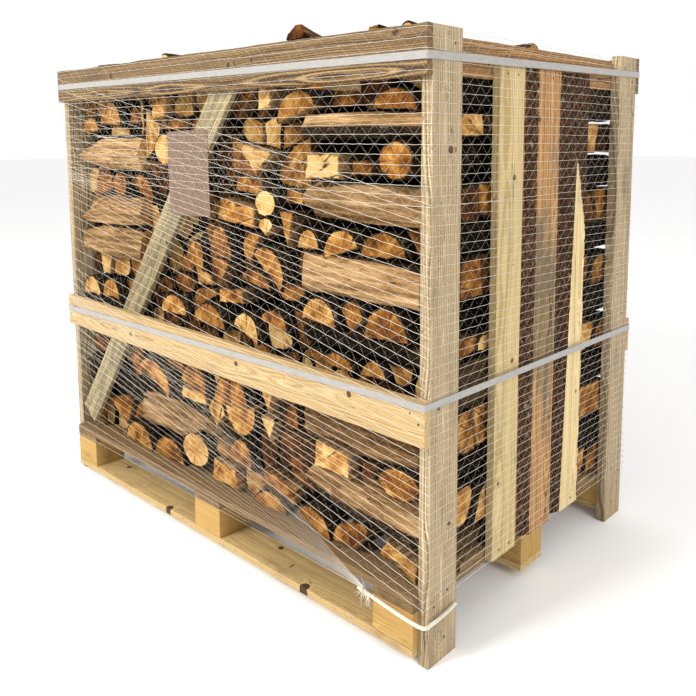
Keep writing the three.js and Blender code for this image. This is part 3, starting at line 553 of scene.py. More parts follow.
def section(polygon, sides):
    """The outline with its shortest edges drawn together until it has only so many sides."""
    points = list(polygon)
    while len(points) > sides:
        lengths = [math.dist(p, points[(i + 1) % len(points)]) for i, p in enumerate(points)]
        i = lengths.index(min(lengths))
        j = (i + 1) % len(points)
        points[i] = ((points[i][0] + points[j][0]) / 2, (points[i][1] + points[j][1]) / 2)
        points.pop(j)
    return points


def seeds_for(area, spacing, first):
    """Middles of the logs in a rectangle, in uneven rows."""
    left, right, bottom, top = area
    seeds = []
    rows = max(1, math.floor((top - bottom) / (spacing * 0.86) + 0.5))
    columns = max(1, math.floor((right - left) / spacing + 0.5))
    for r in range(rows):
        for c in range(columns):
            n = first + r * 17 + c * 3
            across = (c + 0.5 + (0.2 if r % 2 else -0.2) + (chance(n) - 0.5) * 0.45) / columns
            up = (r + 0.5 + (chance(n + 1) - 0.5) * 0.5) / rows
            seed = (left + (right - left) * across, bottom + (top - bottom) * up)
            if all(math.dist(s, seed) > spacing * 0.72 for s in seeds):
                seeds.append(seed)
    return seeds


def rounded(points):
    """An open line with its inner corners cut again and again, so that it becomes an arc."""
    for _ in range(4):
        cut = [points[0]]
        for p, q in zip(points, points[1:]):
            for share in (0.25, 0.75):
                cut.append(tuple(a + (b - a) * share for a, b in zip(p, q)))
        points = cut + [points[-1]]
    return points


def spaced(points, pitch):
    """Points at about one pitch along a line, without its last one."""
    line = np.array(points)
    far = np.concatenate([[0], np.cumsum(np.linalg.norm(np.diff(line, axis=0), axis=1))])
    count = max(2, round(far[-1] / pitch))
    at = np.linspace(0, far[-1], count + 1)[:-1]
    return np.column_stack([np.interp(at, far, line[:, 0]), np.interp(at, far, line[:, 1])])


def log_outline(polygon, run, pitch, curved):
    """The section with one run of corners rounded into bark; the other edges stay split and flat."""
    n = len(polygon)
    first, length = run
    if length >= n and not curved:
        middle = tuple((a + b) / 2 for a, b in zip(polygon[0], polygon[-1]))
        points = spaced(rounded([middle, *polygon, middle]), pitch)
        return points, [BARK] * len(points)
    points, kinds = np.zeros((0, 2)), []
    if length:
        arc_line = [polygon[(first + i) % n] for i in range(length + 1)]
        points = spaced(arc_line if curved else rounded(arc_line), pitch)
        kinds = [BARK] * len(points)
    for i in range(length, n):
        p, q = polygon[(first + i) % n], polygon[(first + i + 1) % n]
        edge = spaced([p, q], pitch)
        points = np.concatenate([points, edge])
        kinds += [SPLIT] * len(edge)
    return points, kinds


def unit_rows(vectors):
    """The vectors at length 1."""
    return vectors / np.maximum(np.linalg.norm(vectors, axis=1), 1e-9)[:, None]


def sharpest(polygon):
    """The index of the sharpest corner of a convex outline."""
    n = len(polygon)
    turns = []
    for i, p in enumerate(polygon):
        a, b = polygon[i - 1], polygon[(i + 1) % n]
        before = np.array(a) - p
        after = np.array(b) - p
        turns.append(float(before @ after / (np.linalg.norm(before) * np.linalg.norm(after) + 1e-9)))
    return turns.index(max(turns))


def random_run(polygon, rng):
    """Bark all round, on all but the longest edge or a sharp corner's edges, or on one edge or two."""
    n = len(polygon)
    lengths = [math.dist(polygon[i], polygon[(i + 1) % n]) for i in range(n)]
    kind = rng.random()
    if kind < 0.05 and n > 3:
        return 0, n
    if kind < 0.36:
        return (int(np.argmax(lengths)) + 1) % n, n - 1
    if kind < 0.80:
        return (sharpest(polygon) + 1) % n, n - 2
    return int(rng.integers(n)), 1 if n < 4 else 2


def pith_of(polygon, run, middle, rng):
    """Where the stem's middle was: at the middle of a half log's flat side, or at a quarter's edge."""
    n = len(polygon)
    if run[1] >= n:
        return middle
    if run[1] == 0:
        return middle + (np.array(polygon[0]) - middle) * 1.7
    flat = [polygon[(run[0] + run[1] + k) % n] for k in range(n - run[1] + 1)]
    corner = np.mean(flat if len(flat) == 2 else flat[1:-1], axis=0)
    return middle + (corner - middle) * (0.95 + 0.3 * rng.random())


# The width of the broken edge round a log's ends, and the shares of the section of their inner rings
ARRIS = 0.0022
LOG_CAP_RINGS = (0.94, 0.55)

# How crooked logs are: bend, twist, lean and slant of the ends. They are this much thicker than their
# section at least, some this much more, and at most this much slimmer at the far end.
LOG_BEND = 0.0012
LOG_TWIST = 0.018
LOG_LEAN = 0.025
LOG_SLANT = 0.025
LOG_THICKER = 0.012
LOG_THICKER_STILL = 0.030
LOG_SLIMMER = 0.03

# How uneven logs are: slow and quick swings of bark, and of split faces, which also have ridges along
# them and lie a little deeper. All round, the broken edge of the ends lies deeper too.
BARK_SWINGS = (0.0022, 0.0021)
SPLIT_SWINGS = (0.0024, 0.0013)
SPLIT_RIDGES = 0.0020
SPLIT_SUNK = 0.0008
EDGE_SUNK = 0.0012

# How far behind its end a log inside the stack has further rings, and where it starts and ends to darken with
# painted shade
SHADE_RINGS = (0.010, 0.026, 0.048)
SHADE_START = 0.008
SHADE_REACH = 0.04

# How far from its ends a log along the long side tapers, how much more uneven than others it is, the
# share of its depth from the front that tapers in full, and the share behind that over which it gets
# its whole height again
SIDE_LOG_TAPER = 0.125
SIDE_LOG_SPREAD = 1.5
TAPERED = 0.28
TAPER_FADE = 0.22


def add_log(mesh, polygon, basis, start, stop, seed, tone=None, run=None, offset=(0, 0, 0), light=1.0,
            pitch=0.0085, rings=9, spread=1.0, curved=False, ends=None, far_height=1.0, shaded_end=0):
    """One split log: a prism of its section with rough bark, torn split faces and sawn ends. ends gives
    the lowest and highest place at both ends as shares of its height, for a log that tapers there, and
    far_height the share of the height that a log lying on the plane 0 has at its far end. The last
    argument names the end, -1 or 1, behind which a log inside the stack is painted darker: painted shade."""
    rng = np.random.default_rng(seed)
    if run is None:
        run = random_run(polygon, rng)
    points, kinds = log_outline(polygon, run, pitch, curved)
    middle = points.mean(0)
    tangent = unit_rows(np.roll(points, -1, 0) - np.roll(points, 1, 0))
    normal = np.column_stack([tangent[:, 1], -tangent[:, 0]])
    rough = np.array([1.0 if k == BARK else 0.0 for k in kinds])
    shift = float(rng.random() * 40)
    ridge = np.array([noise.noise((p[0] * 160, p[1] * 160, shift)) for p in points])
    bend = rng.normal(0, LOG_BEND, 2)
    twist = float(rng.normal(0, LOG_TWIST))
    grow = LOG_THICKER + LOG_THICKER_STILL * float(rng.random())
    slim = float(rng.random() * LOG_SLIMMER)
    lean = float(rng.normal(0, LOG_LEAN)) if ends is None else 0.0
    (nearest, lowest), (farthest, highest) = points.min(0), points.max(0)

    def displace(flat, t):
        out = np.empty(len(flat))
        a = start + (stop - start) * t
        for i, p in enumerate(flat):
            coarse = noise.noise((p[0] * 38 + shift, p[1] * 38, a * 16))
            fine = noise.noise((p[0] * 130, p[1] * 130 + shift, a * (95 if rough[i] else 26)))
            if rough[i]:
                out[i] = BARK_SWINGS[0] * coarse + BARK_SWINGS[1] * fine
            else:
                swings = SPLIT_SWINGS[0] * coarse + SPLIT_SWINGS[1] * fine
                out[i] = swings + SPLIT_RIDGES * ridge[i] - SPLIT_SUNK
        if t in (0.0, 1.0):
            out -= EDGE_SUNK
        turn = twist * (t - 0.5) + lean
        moved = flat - middle
        moved = moved * (1 + grow - slim * t)
        moved = np.column_stack([moved[:, 0] - turn * moved[:, 1], moved[:, 1] + turn * moved[:, 0]])
        moved = middle + moved + normal * (out * spread)[:, None] + bend * math.sin(math.pi * t)
        if ends is not None:
            share = min(1.0, min(t, 1 - t) * (stop - start) / SIDE_LOG_TAPER)
            low, high = ends[0 if t < 0.5 else 1]
            low, high = low - low * share, high + (1 - high) * share
            lift = (moved[:, 1] - lowest) / (highest - lowest)
            inward = (moved[:, 0] - nearest) / (farthest - nearest)
            whole = np.clip((inward - TAPERED) / TAPER_FADE, 0, 1)
            low, high = low * (1 - whole), high + (1 - high) * whole
            moved[:, 1] = lowest + (highest - lowest) * (low + (high - low) * lift)
        moved[:, 1] *= 1 + (far_height - 1) * t
        return moved

    # Painted shade: a log inside the stack is painted darker behind its end
    def fade(at):
        deep = at - start if shaded_end < 0 else stop - at
        share = np.clip((deep - SHADE_START) / SHADE_REACH, 0, 1)
        return 1 - PAINTED_SHADE * share * share * (3 - 2 * share)

    edge = ARRIS / abs(stop - start)
    places = [0.0, edge, *np.linspace(0, 1, rings)[1:-1], 1 - edge, 1.0]
    if shaded_end:
        steps = [deep / abs(stop - start) for deep in SHADE_RINGS]
        places = sorted(places + (steps if shaded_end < 0 else [1 - step for step in steps]))
    tone = float(rng.beta(1.2, 1.0)) if tone is None else tone + rng.normal(0, 0.03)
    light = light * (0.82 + 0.30 * rng.random())
    pith = pith_of(polygon, run, middle, rng)
    shift_grain = (float(rng.random() * 30), -pith[0], -pith[1])
    tilt = rng.normal(0, LOG_SLANT, 4)
    prism(mesh, points, kinds, basis, start, stop, offset, places, displace, (tone, light), shift_grain,
          END, LOG_CAP_RINGS, tilt, rim_slot=BARK, fade=fade if shaded_end else None)


AXES = {"x": ((1, 0, 0), (0, 1, 0), (0, 0, 1)), "y": ((0, 1, 0), (1, 0, 0), (0, 0, 1))}


def add_logs(mesh, area, axis, start, stop, outward, first, kind):
    """Logs side by side in a rectangle. outward is the side, -1 or 1, to which their ends show."""
    spread, fewest = kind
    seeds = seeds_for(area, LOG_SPACING, first)
    for i, seed in enumerate(seeds):
        pick = first + i * 7
        lower = TOP_DROP * chance(pick + 2) if area[3] == STACK_TOP and chance(pick + 1) < 0.5 else 0
        sides = fewest + math.floor(chance(pick + 3) * 1.4 + chance(pick + 4) * 1.5)
        trimmed = (area[0], area[1], area[2], area[3] - lower) if lower > 0 else area
        polygon = section(cell(seed, seeds, trimmed), sides)
        back = spread * chance(pick + 5)
        first_end = start + back if outward < 0 else start
        last_end = stop - back if outward > 0 else stop
        # Logs below the top are painted darker behind their outward end: painted shade deep in the stack
        shaded_end = outward if polygon[0][1] < STACK_TOP - UNSHADED_TOP else 0
        add_log(mesh, polygon, AXES[axis], first_end, last_end, pick, shaded_end=shaded_end)


# Courses of the corner piles in millimetres: "x" logs lie along the long side, "y" logs across
PILE_FRONT_RIGHT = (
    (156, 228, "y"), (228, 330, "x"), (330, 402, "y"), (402, 506, "x"), (506, 618, "y"), (618, 668, "x"),
    (668, 752, "y"), (752, 846, "x"), (846, 918, "y"), (918, 1002, "x"), (1002, 1100, "y"), (1100, 1157, "x"),
    (1157, 1225, "y"),
)
PILE_FRONT_LEFT = (
    (156, 290, "y"), (290, 398, "x"), (398, 500, "y"), (500, 600, "x"), (600, 668, "y"), (668, 738, "y"),
    (738, 838, "x"), (838, 928, "x"), (928, 1012, "y"), (1012, 1108, "x"), (1108, 1225, "y"),
)
BACK_EDGES = (156, 240, 330, 425, 515, 600, 695, 785, 870, 965, 1055, 1140, 1225)
PILE_BACK = [(low, high, "yx"[i % 2 == 0]) for i, (low, high) in enumerate(zip(BACK_EDGES, BACK_EDGES[1:]))]

# Corner piles: name, side of the crate across and in depth, courses, and first seed
PILES = (
    ("logs_front_right", 1, -1, PILE_FRONT_RIGHT, 100),
    ("logs_front_left", -1, -1, PILE_FRONT_LEFT, 900),
    ("logs_back_right", 1, 1, PILE_BACK, 1700),
    ("logs_back_left", -1, 1, PILE_BACK, 2500),
)

# Ends of logs at the front that the photograph shows, in millimetres: middle across and up, width,
# height, turn in degrees, shape, how far the end stands back, and tone
FRONT_LOGS = (
    (-510, 1181, 125, 72, -4, "half", 14, 0.72), (-405, 1171, 70, 52, 0, "block", 40, 0.35),
    (-622, 1148, 100, 46, 0, "half", 5, 0.62), (-592, 972, 112, 72, 15, "half", 30, 0.38),
    (-447, 967, 84, 70, 0, "round", 0, 0.52), (-335, 966, 140, 55, -28, "half", 12, 0.4),
    (-646, 634, 108, 58, 0, "half", 0, 0.85), (-538, 636, 98, 60, 0, "half", 6, 0.62),
    (-645, 438, 110, 66, 0, "round", 25, 0.36), (-225, 1184, 96, 62, 40, "quarter", 4, 0.58),
    (-195, 1142, 140, 30, 0, "block", 30, 0.45), (130, 1203, 50, 38, 0, "block", 25, 0.46),
    (88, 1173, 70, 42, 0, "wedge", 30, 0.5), (220, 1196, 46, 50, 0, "block", 5, 1.0),
    (328, 1182, 136, 54, 14, "half", 0, 0.6), (-240, 1072, 98, 90, 0, "round", 25, 0.8),
    (178, 1050, 148, 62, -8, "wedge", 0, 0.92), (125, 985, 100, 38, -8, "block", 30, 0.55),
    (90, 913, 150, 58, -5, "block", 15, 0.6), (222, 946, 74, 66, 0, "round", 0, 1.0),
    (218, 888, 54, 46, 0, "quarter", 3, 0.72), (291, 886, 52, 84, 0, "wedge", 5, 0.68),
    (290, 962, 60, 34, 0, "block", 35, 0.48), (40, 838, 92, 86, 0, "half", 0, 0.46),
    (26, 756, 76, 72, -8, "wedge", 6, 0.55), (-82, 793, 86, 78, -18, "half", 10, 0.5),
    (-150, 755, 58, 48, 0, "block", 30, 0.36), (150, 838, 88, 48, 60, "half", 8, 0.45),
    (240, 800, 136, 60, -37, "half", 0, 0.56), (168, 756, 112, 42, -8, "half", 12, 0.42),
    (303, 736, 110, 38, 178, "half", 4, 0.48), (-183, 638, 132, 54, 0, "half", 0, 0.66),
    (-25, 632, 138, 60, -2, "half", 5, 0.52), (50, 690, 104, 38, 6, "block", 22, 0.55),
    (136, 630, 106, 58, -18, "half", 6, 0.85), (236, 660, 98, 42, -15, "half", 12, 0.52),
    (-325, 630, 84, 48, 0, "block", 45, 0.22), (618, 1182, 120, 44, 0, "half", 12, 0.42),
    (450, 1188, 90, 36, 0, "block", 45, 0.3), (418, 1039, 108, 56, -2, "block", 0, 0.98),
    (510, 1036, 62, 34, 0, "block", 30, 0.36), (630, 1056, 94, 80, 0, "round", 0, 0.45),
    (366, 871, 68, 48, 0, "half", 5, 0.72), (465, 874, 110, 52, 20, "half", 2, 0.6),
    (592, 878, 132, 54, -1, "half", 4, 0.52), (404, 710, 116, 60, -5, "half", 0, 0.7),
    (502, 710, 68, 72, -8, "quarter", 6, 0.55), (600, 710, 126, 72, 4, "half", 2, 0.52),
    (355, 592, 76, 26, 0, "half", 30, 0.35), (446, 597, 104, 34, 0, "half", 15, 0.55),
    (556, 598, 76, 36, 0, "half", 15, 0.62), (440, 364, 112, 62, 0, "block", 0, 0.78),
    (524, 352, 44, 36, 0, "block", 35, 0.26), (640, 367, 116, 70, 0, "round", 0, 0.48),
    (384, 197, 116, 44, -22, "half", 0, 0.52), (494, 195, 128, 66, 28, "quarter", 6, 0.42),
    (642, 194, 104, 44, -18, "block", 3, 0.8), (-408, 425, 90, 120, 0, "quarter", 14, 0.44),
    (-285, 415, 168, 60, -28, "half", 0, 0.58), (-204, 462, 72, 42, -18, "block", 14, 0.4),
    (-95, 443, 126, 72, -12, "half", 3, 0.46), (-128, 378, 116, 34, -3, "block", 20, 0.95),
    (58, 440, 138, 88, 5, "half", 6, 0.47), (-105, 228, 122, 98, 0, "round", 6, 0.88),
    (-515, 240, 146, 88, 12, "wedge", 16, 0.58), (-400, 196, 146, 70, -4, "half", 4, 0.64),
    (-240, 194, 150, 66, 0, "half", 6, 0.55), (-10, 360, 72, 82, 0, "quarter", 12, 0.9),
    (104, 366, 122, 76, 188, "half", 6, 0.62), (197, 448, 60, 72, 0, "wedge", 14, 0.9),
    (200, 368, 54, 60, 0, "wedge", 14, 0.85), (298, 326, 140, 86, 0, "block", 30, 0.2),
    (98, 280, 100, 70, -15, "half", 8, 0.5), (248, 236, 126, 46, -12, "block", 6, 0.42),
    (208, 183, 124, 44, 0, "half", 10, 0.6), (24, 196, 112, 60, 0, "block", 8, 0.75),
    (256, 420, 58, 88, 0, "block", 40, 0.22),
)


def arc(start, stop, middle, height, steps):
    """Points of an arc of an ellipse, one wide and as high as twice the given height."""
    angles = np.radians(np.linspace(start, stop, steps + 1))
    return list(zip(0.5 * np.cos(angles), middle + height * np.sin(angles)))


# Shapes of the ends, one wide and one high round their middle, each with its run of bark: half a stem
# with its flat side down, a quarter with its sharp edge down, a whole stem, and pieces split all round
END_SHAPES = {
    "half": (arc(0, 180, -0.5, 1, 12), (0, 12)),
    "quarter": ([(0, -0.5), *arc(5, 175, 0, 0.5, 12)], (1, 12)),
    "round": (arc(0, 340, 0, 0.5, 17), (0, 18)),
    "block": ([(-0.5, -0.5), (0.5, -0.46), (0.46, 0.44), (-0.44, 0.5)], (0, 0)),
    "wedge": ([(0.1, -0.5), (0.5, 0.4), (0.42, 0.5), (-0.5, 0.5)], (1, 1)),
}


def end_outline(across, up, width, height, turn, shape):
    """A front log's end in metres, kept between the deck and the stack's top."""
    a = math.radians(turn)
    points = []
    for u, v in END_SHAPES[shape][0]:
        x = across + u * width * math.cos(a) - v * height * math.sin(a)
        z = up + u * width * math.sin(a) + v * height * math.cos(a)
        points.append((x * MM, min(max(z * MM, STACK_LOW), STACK_TOP)))
    return points


def fill_in(mesh, area, outlines, first):
    """Logs in what the given ends leave free. They stand further back and are painted darker: painted shade."""
    seeds = [seed for seed in seeds_for(area, FILL_SPACING, first)
             if all(facing_edge(outline, seed)[3] > FILL_APART for outline in outlines)]
    for i, seed in enumerate(seeds):
        polygon = cell(seed, seeds, area)
        for outline in outlines:
            nx, nz, place, _ = facing_edge(outline, seed)
            polygon = clip(polygon, -nx, -nz, -place - LOG_GAP / 2)
        if outline_area(polygon) < FILL_LEAST:
            continue
        back = FILL_BACK + FILL_SPREAD * chance(first + i * 11)
        add_log(mesh, section(polygon, FILL_SIDES), AXES["y"], -STACK_HALF_Y + back, -CRIB_Y,
                first + i * 11, light=FILL_SHADED_LIGHT, shaded_end=-1)


# Logs along the long side at the front. Each has its section as shares of depth and height, the
# run of corners with bark, its tone, and its lowest and highest place at both ends.
RIDGED = ((0, 0.45), (0.16, 0), (1, 0), (1, 0.8), (0.6, 1), (0.2, 0.96))
UPRIGHT = ((0, 0.12), (0.1, 0), (1, 0), (1, 0.85), (0.5, 1), (0.05, 0.93))
SLOPED = ((0, 0.42), (0.14, 0), (1, 0), (1, 0.75), (0.75, 1), (0.42, 1))

# Those of the corner piles: pile, course and depth come first, and their first end is the inner one
FRONT_SIDE_LOGS = {
    "log_right_lowest": (0, 1, 112, SLOPED, (0, 2), 0.72, ((0.5, 0.95), (0, 0.9))),
    "log_right_low": (0, 3, 108, UPRIGHT, (2, 2), 0.45, ((0, 0.95), (0.1, 0.95))),
    "log_right_middle": (0, 7, 110, UPRIGHT, (2, 3), 0.80, ((0, 1), (0, 0.88))),
    "log_right_high": (0, 9, 105, RIDGED, (2, 2), 0.82, ((0.35, 0.85), (0, 0.75))),
    "log_right_highest": (0, 11, 104, RIDGED, (0, 2), 0.78, ((0, 1), (0, 0.95))),
    "log_left_low": (1, 6, 112, UPRIGHT, (2, 3), 0.72, ((0, 1), (0.1, 0.75))),
    "log_left_middle": (1, 7, 104, RIDGED, (2, 2), 0.8, ((0.1, 1), (0, 0.35))),
    "log_left_high": (1, 9, 110, RIDGED, (2, 3), 0.9, ((0, 1), (0.25, 0.6))),
}


def side_log(mesh, seed, from_x, to_x, bottom, top, depth, shape, run, tone, ends):
    """A log along the long side at the stack's front face."""
    polygon = [(-STACK_HALF_Y + depth * v, bottom + (top - bottom) * w) for v, w in shape]
    if to_x < from_x:
        from_x, to_x, ends = to_x, from_x, ends[::-1]
    add_log(mesh, polygon, AXES["x"], from_x, to_x, seed, tone, run, pitch=0.006, rings=22,
            spread=SIDE_LOG_SPREAD, ends=ends)


# The one between the piles: its two ends, lowest and highest place, and depth
MIDDLE_SIDE_LOG = (-0.368, -0.046, 0.248, 0.360, 0.104)


def front_ends():
    """The given logs of the front. Their outlines are returned."""
    mesh = Mesh("logs_front_ends", LOG_MATERIALS)
    outlines = [end_outline(*log[:6]) for log in FRONT_LOGS]
    for k, (log, polygon) in enumerate(zip(FRONT_LOGS, outlines)):
        shape, back, tone = log[5:]
        add_log(mesh, polygon, AXES["y"], -STACK_HALF_Y + back * MM, -CRIB_Y, FRONT_SEED + k, tone,
                END_SHAPES[shape][1], pitch=0.007, spread=1.3, curved=True, shaded_end=-1)
    side_log(mesh, MIDDLE_SIDE_SEED, *MIDDLE_SIDE_LOG, UPRIGHT, (2, 3), 0.75, ((0, 0.9), (0.5, 0.86)))
    low, high, bottom, top, _ = MIDDLE_SIDE_LOG
    outlines.append([(low, bottom), (high, bottom), (high, top), (low, top)])
    mesh.place("log_wood", ["log_stack"])
    return outlines


def corner_pile(outlines, pile_number, name, sx, sy, courses, first):
    """Cross-laid courses of logs in one corner, but for those that the photograph shows one by one."""
    mesh = Mesh(name, LOG_MATERIALS)
    span_x = sorted((sx * CRIB_X, sx * STACK_HALF_X))
    span_y = sorted((sy * CRIB_Y, sy * STACK_HALF_Y))
    cuts = {course: depth for pile, course, depth, *_ in FRONT_SIDE_LOGS.values() if pile == pile_number}
    for i, (bottom, top, axis) in enumerate(courses):
        low, high = max(bottom * MM, STACK_LOW), top * MM
        if axis == "y" and sy < 0:
            fill_in(mesh, (*span_x, low, high), outlines, first + i * 50)
        elif axis == "y":
            add_logs(mesh, (*span_x, low, high), "y", *span_y, sy, first + i * 50, PILE_LOGS)
        else:
            across = [span_y[0] + cuts[i] * MM + LOG_GAP, span_y[1]] if i in cuts else span_y
            add_logs(mesh, (*across, low, high), "x", *span_x, sx, first + i * 50, PILE_LOGS)
    mesh.place("log_wood", ["log_stack"])


outlines = front_ends()
for number, pile in enumerate(PILES):
    corner_pile(outlines, number, *pile)
mesh = Mesh("logs_front_middle", LOG_MATERIALS)
fill_in(mesh, (-CRIB_X, CRIB_X, STACK_LOW, STACK_TOP), outlines, FRONT_FILL_SEED)
mesh.place("log_wood", ["log_stack"])

# Rows between the piles: name, rectangle, direction, both ends, the side they show, and first seed
UPPER_ROW = STACK_TOP - 0.095
END_AREA = (-CRIB_Y, CRIB_Y, STACK_LOW, STACK_TOP)
TOP_AREA = (-CRIB_Y, CRIB_Y, UPPER_ROW, STACK_TOP)
INNER_AREA = (-CRIB_Y, CRIB_Y, STACK_LOW, UPPER_ROW)
LEFT_HALF = (-CRIB_X + LOG_GAP, -LOG_GAP / 2)
RIGHT_HALF = (LOG_GAP / 2, CRIB_X - LOG_GAP)
ROWS = (
    ("logs_back_middle", (-CRIB_X, CRIB_X, STACK_LOW, STACK_TOP), "y", CRIB_Y, STACK_HALF_Y, 1, 4300),
    ("logs_right_middle", END_AREA, "x", CRIB_X, STACK_HALF_X, 1, 5300),
    ("logs_left_middle", END_AREA, "x", -STACK_HALF_X, -CRIB_X, -1, 6300),
    ("logs_top_left", TOP_AREA, "x", *LEFT_HALF, 0, 7300),
    ("logs_top_right", TOP_AREA, "x", *RIGHT_HALF, 0, 7400),
    ("logs_inner_left", INNER_AREA, "x", *LEFT_HALF, 0, 7500),
    ("logs_inner_right", INNER_AREA, "x", *RIGHT_HALF, 0, 7700),
)
for name, *row in ROWS:
    mesh = Mesh(name, LOG_MATERIALS)
    add_logs(mesh, *row, ROW_LOGS)
    mesh.place("log_wood", ["log_stack"])

# How far a side log stays off its course's edges and off the pile's inner and outer side
COURSE_PLAY = 0.0003
INNER_PLAY = 0.002
OUTER_PLAY = 0.014
for k, (name, (pile, course, depth, *more)) in enumerate(FRONT_SIDE_LOGS.items()):
    sx = PILES[pile][1]
    bottom, top = (edge * MM for edge in PILES[pile][3][course][:2])
    mesh = Mesh(name + "_dressed", LOG_MATERIALS)
    side_log(mesh, SIDE_SEED + k, sx * (CRIB_X + INNER_PLAY), sx * (STACK_HALF_X - OUTER_PLAY),
             bottom + COURSE_PLAY, top - COURSE_PLAY, depth * MM, *more)
    mesh.place("log_wood", [name])

# Loose logs: middle, turn, width, height, dip towards the far end, lift off the stack, the share of
# the height that the far end has, and the run of corners with bark
LOOSE_LOGS = (
    (365, -313, 90, 56, 34, 16, 46.4, 1, (5, 2)), (-255, 190, 130, 104, 98, 0, 0, 1, (1, 2)),
    (510, -215, 90, 80, 117, 0, 0, 0.7, (4, 2)), (606, -216, 90, 98, 116, 0, 0, 0.55, (1, 4)),
    (-440, -385, 4, 96, 108, 0, 0, 0.9, (2, 3)), (-175, -272, 84, 96, 108, 0, 0, 0.8, (3, 2)),
    (505, 40, 172, 100, 100, 0, 0, 0.9, (1, 4)),
)
LOOSE_SHAPE = ((-0.5, 0), (0.5, 0), (0.46, 0.42), (0.12, 0.98), (-0.2, 1), (-0.47, 0.45))
LOOSE_CLEAR = 0.0003


def loose_log(k, x, y, turn, width, height, dip_angle, lift, far_height, run):
    polygon = [(u * width * MM, v * height * MM) for u, v in LOOSE_SHAPE]
    a, d = math.radians(turn), math.radians(dip_angle)
    ahead = (math.cos(a) * math.cos(d), math.sin(a) * math.cos(d), -math.sin(d))
    aside = (-math.sin(a), math.cos(a), 0)
    above = (math.cos(a) * math.sin(d), math.sin(a) * math.sin(d), math.cos(d))
    mesh = Mesh(f"loose_log_{k + 1}_dressed", LOG_MATERIALS)
    add_log(mesh, polygon, (ahead, aside, above), -LOG_LENGTH / 2, LOG_LENGTH / 2, LOOSE_SEED + k, run=run,
            offset=(x * MM, y * MM, STACK_TOP + LOOSE_CLEAR + lift * MM), pitch=0.007, rings=16,
            far_height=far_height)
    mesh.place("log_wood", [f"loose_log_{k + 1}"])


for k, loose in enumerate(LOOSE_LOGS):
    loose_log(k, *loose)


# Boards
BOARD_CHAMFER = 0.0012


def divided(p, q, pitch):
    """Points at about one pitch from p to q, without q."""
    count = max(1, round(math.dist(p, q) / pitch))
    return [(p[0] + (q[0] - p[0]) * k / count, p[1] + (q[1] - p[1]) * k / count) for k in range(count)]


def board_outline(width, thick, pitch):
    """A rectangle across a board with cut corners, anticlockwise, from its lower left side."""
    w, t, c = width / 2, thick / 2, BOARD_CHAMFER
    corners = [(-w + c, -t), (w - c, -t), (w, -t + c), (w, t - c)]
    corners += [(w - c, t), (-w + c, t), (-w, t - c), (-w, -t + c)]
    points = []
    for p, q in zip(corners, corners[1:] + corners[:1]):
        points += divided(p, q, pitch)
    return points


def board(name, slot, materials, basis, offset, length, width, thick, seed, light=1.0, knots=None,
          shear=0.0, wane=None, warp=0.0008, pith=None, bark_edge=None, choose=None, pitch=0.02,
          ring_pitch=0.03, age=None):
    """A sawn board in place of the solid of that name, with slightly uneven edges. wane(share along)
    gives how much of the outer face bark takes away on the side that bark_edge names, and shear lifts
    one end against the other."""
    rng = np.random.default_rng(seed)
    shift = float(rng.random() * 50)
    outline = np.array(board_outline(width, thick, pitch))
    kinds = [0] * len(outline)
    side, face = bark_edge or (0, 0)
    if bark_edge:
        kinds = [1 if side * (p[0] + q[0]) / 2 > width / 2 - 0.0005 else 0
                 for p, q in zip(outline, np.roll(outline, -1, 0))]

    def displace(flat, t):
        a = (t - 0.5) * length
        moved = flat.copy()
        for i, (b, c) in enumerate(flat):
            at = math.copysign(3, b) + shift
            uneven = noise.noise((a * 6, at, 0)) * 1.4 + noise.noise((a * 45, at, c * 60))
            moved[i, 0] += warp * uneven * (abs(b) / (width / 2)) ** 6
            moved[i, 1] += 0.4 * warp * noise.noise((a * 3, b * 9 + shift, 1.7))
        if wane is not None:
            share = (flat[:, 1] * face + thick / 2) / thick
            rough = np.array([noise.noise((a * 60, c * 150 + shift, 2.0)) for c in flat[:, 1]])
            limit = width / 2 - wane(t) * share + 0.0014 * rough * (share > 0.02)
            moved[:, 0] = side * np.minimum(side * moved[:, 0], limit)
        moved[:, 0] += shear * a
        return moved

    rings = max(6, round(length / ring_pitch))
    if knots is None:
        count = max(1, int(length * 2 + rng.random() * 2))
        knots = [((rng.random() - 0.5) * length * 0.9, (rng.random() - 0.5) * width * 0.8,
                  0.002 + 0.005 * rng.random()) for _ in range(count)]
    if pith is None:
        pith = (float(rng.normal(0, 0.03)), float(rng.choice((-1, 1)) * (0.02 + 0.05 * rng.random())))
    mesh = Mesh(name + "_dressed", materials)
    look = (0.0, light * (0.93 + 0.12 * rng.random()))
    shift_grain = (float(rng.random() * 30), *pith)
    tilt = rng.normal(0, 0.006, 4)
    prism(mesh, outline, kinds, basis, -length / 2, length / 2, offset, np.linspace(0, 1, rings), displace,
          look, shift_grain, 0, (0.7,), tilt, knots, choose=choose, age=age)
    mesh.place(slot, [name], sharp=0.5)


X, Y, Z = (1, 0, 0), (0, 1, 0), (0, 0, 1)


def boxed(name, slot, material, axis, seed, **more):
    """A board over the box of the solid of the same name: its length along axis, its wider side next."""
    low, high = (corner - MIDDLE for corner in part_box(name))
    size = high - low
    long = "xyz".index(axis)
    wide, thin = sorted((k for k in range(3) if k != long), key=lambda k: -size[k])
    basis = [(X, Y, Z)[k] for k in (long, wide, thin)]
    board(name, slot, (material,), basis, (low + high) / 2, size[long], size[wide], size[thin], seed, **more)


# Knots: places along a board and across it from its middle, and radius
RUNNER_KNOTS = ((-0.52, 0.02, 0.007), (-0.19, -0.047, 0.011), (0.21, 0.03, 0.007), (0.38, -0.047, 0.012))
POST_KNOTS = {"post_front_right": ((0.42, 0.012, 0.007), (-0.10, -0.02, 0.004), (-0.36, 0.02, 0.005))}
MIDDLE_KNOTS = ((-0.357, -0.012, 0.006), (0.142, 0.0, 0.006), (0.532, 0.012, 0.0065))
SLAT_KNOTS = ((0.32, 0.012, 0.006), (-0.10, 0.02, 0.006), (-0.38, -0.03, 0.005))


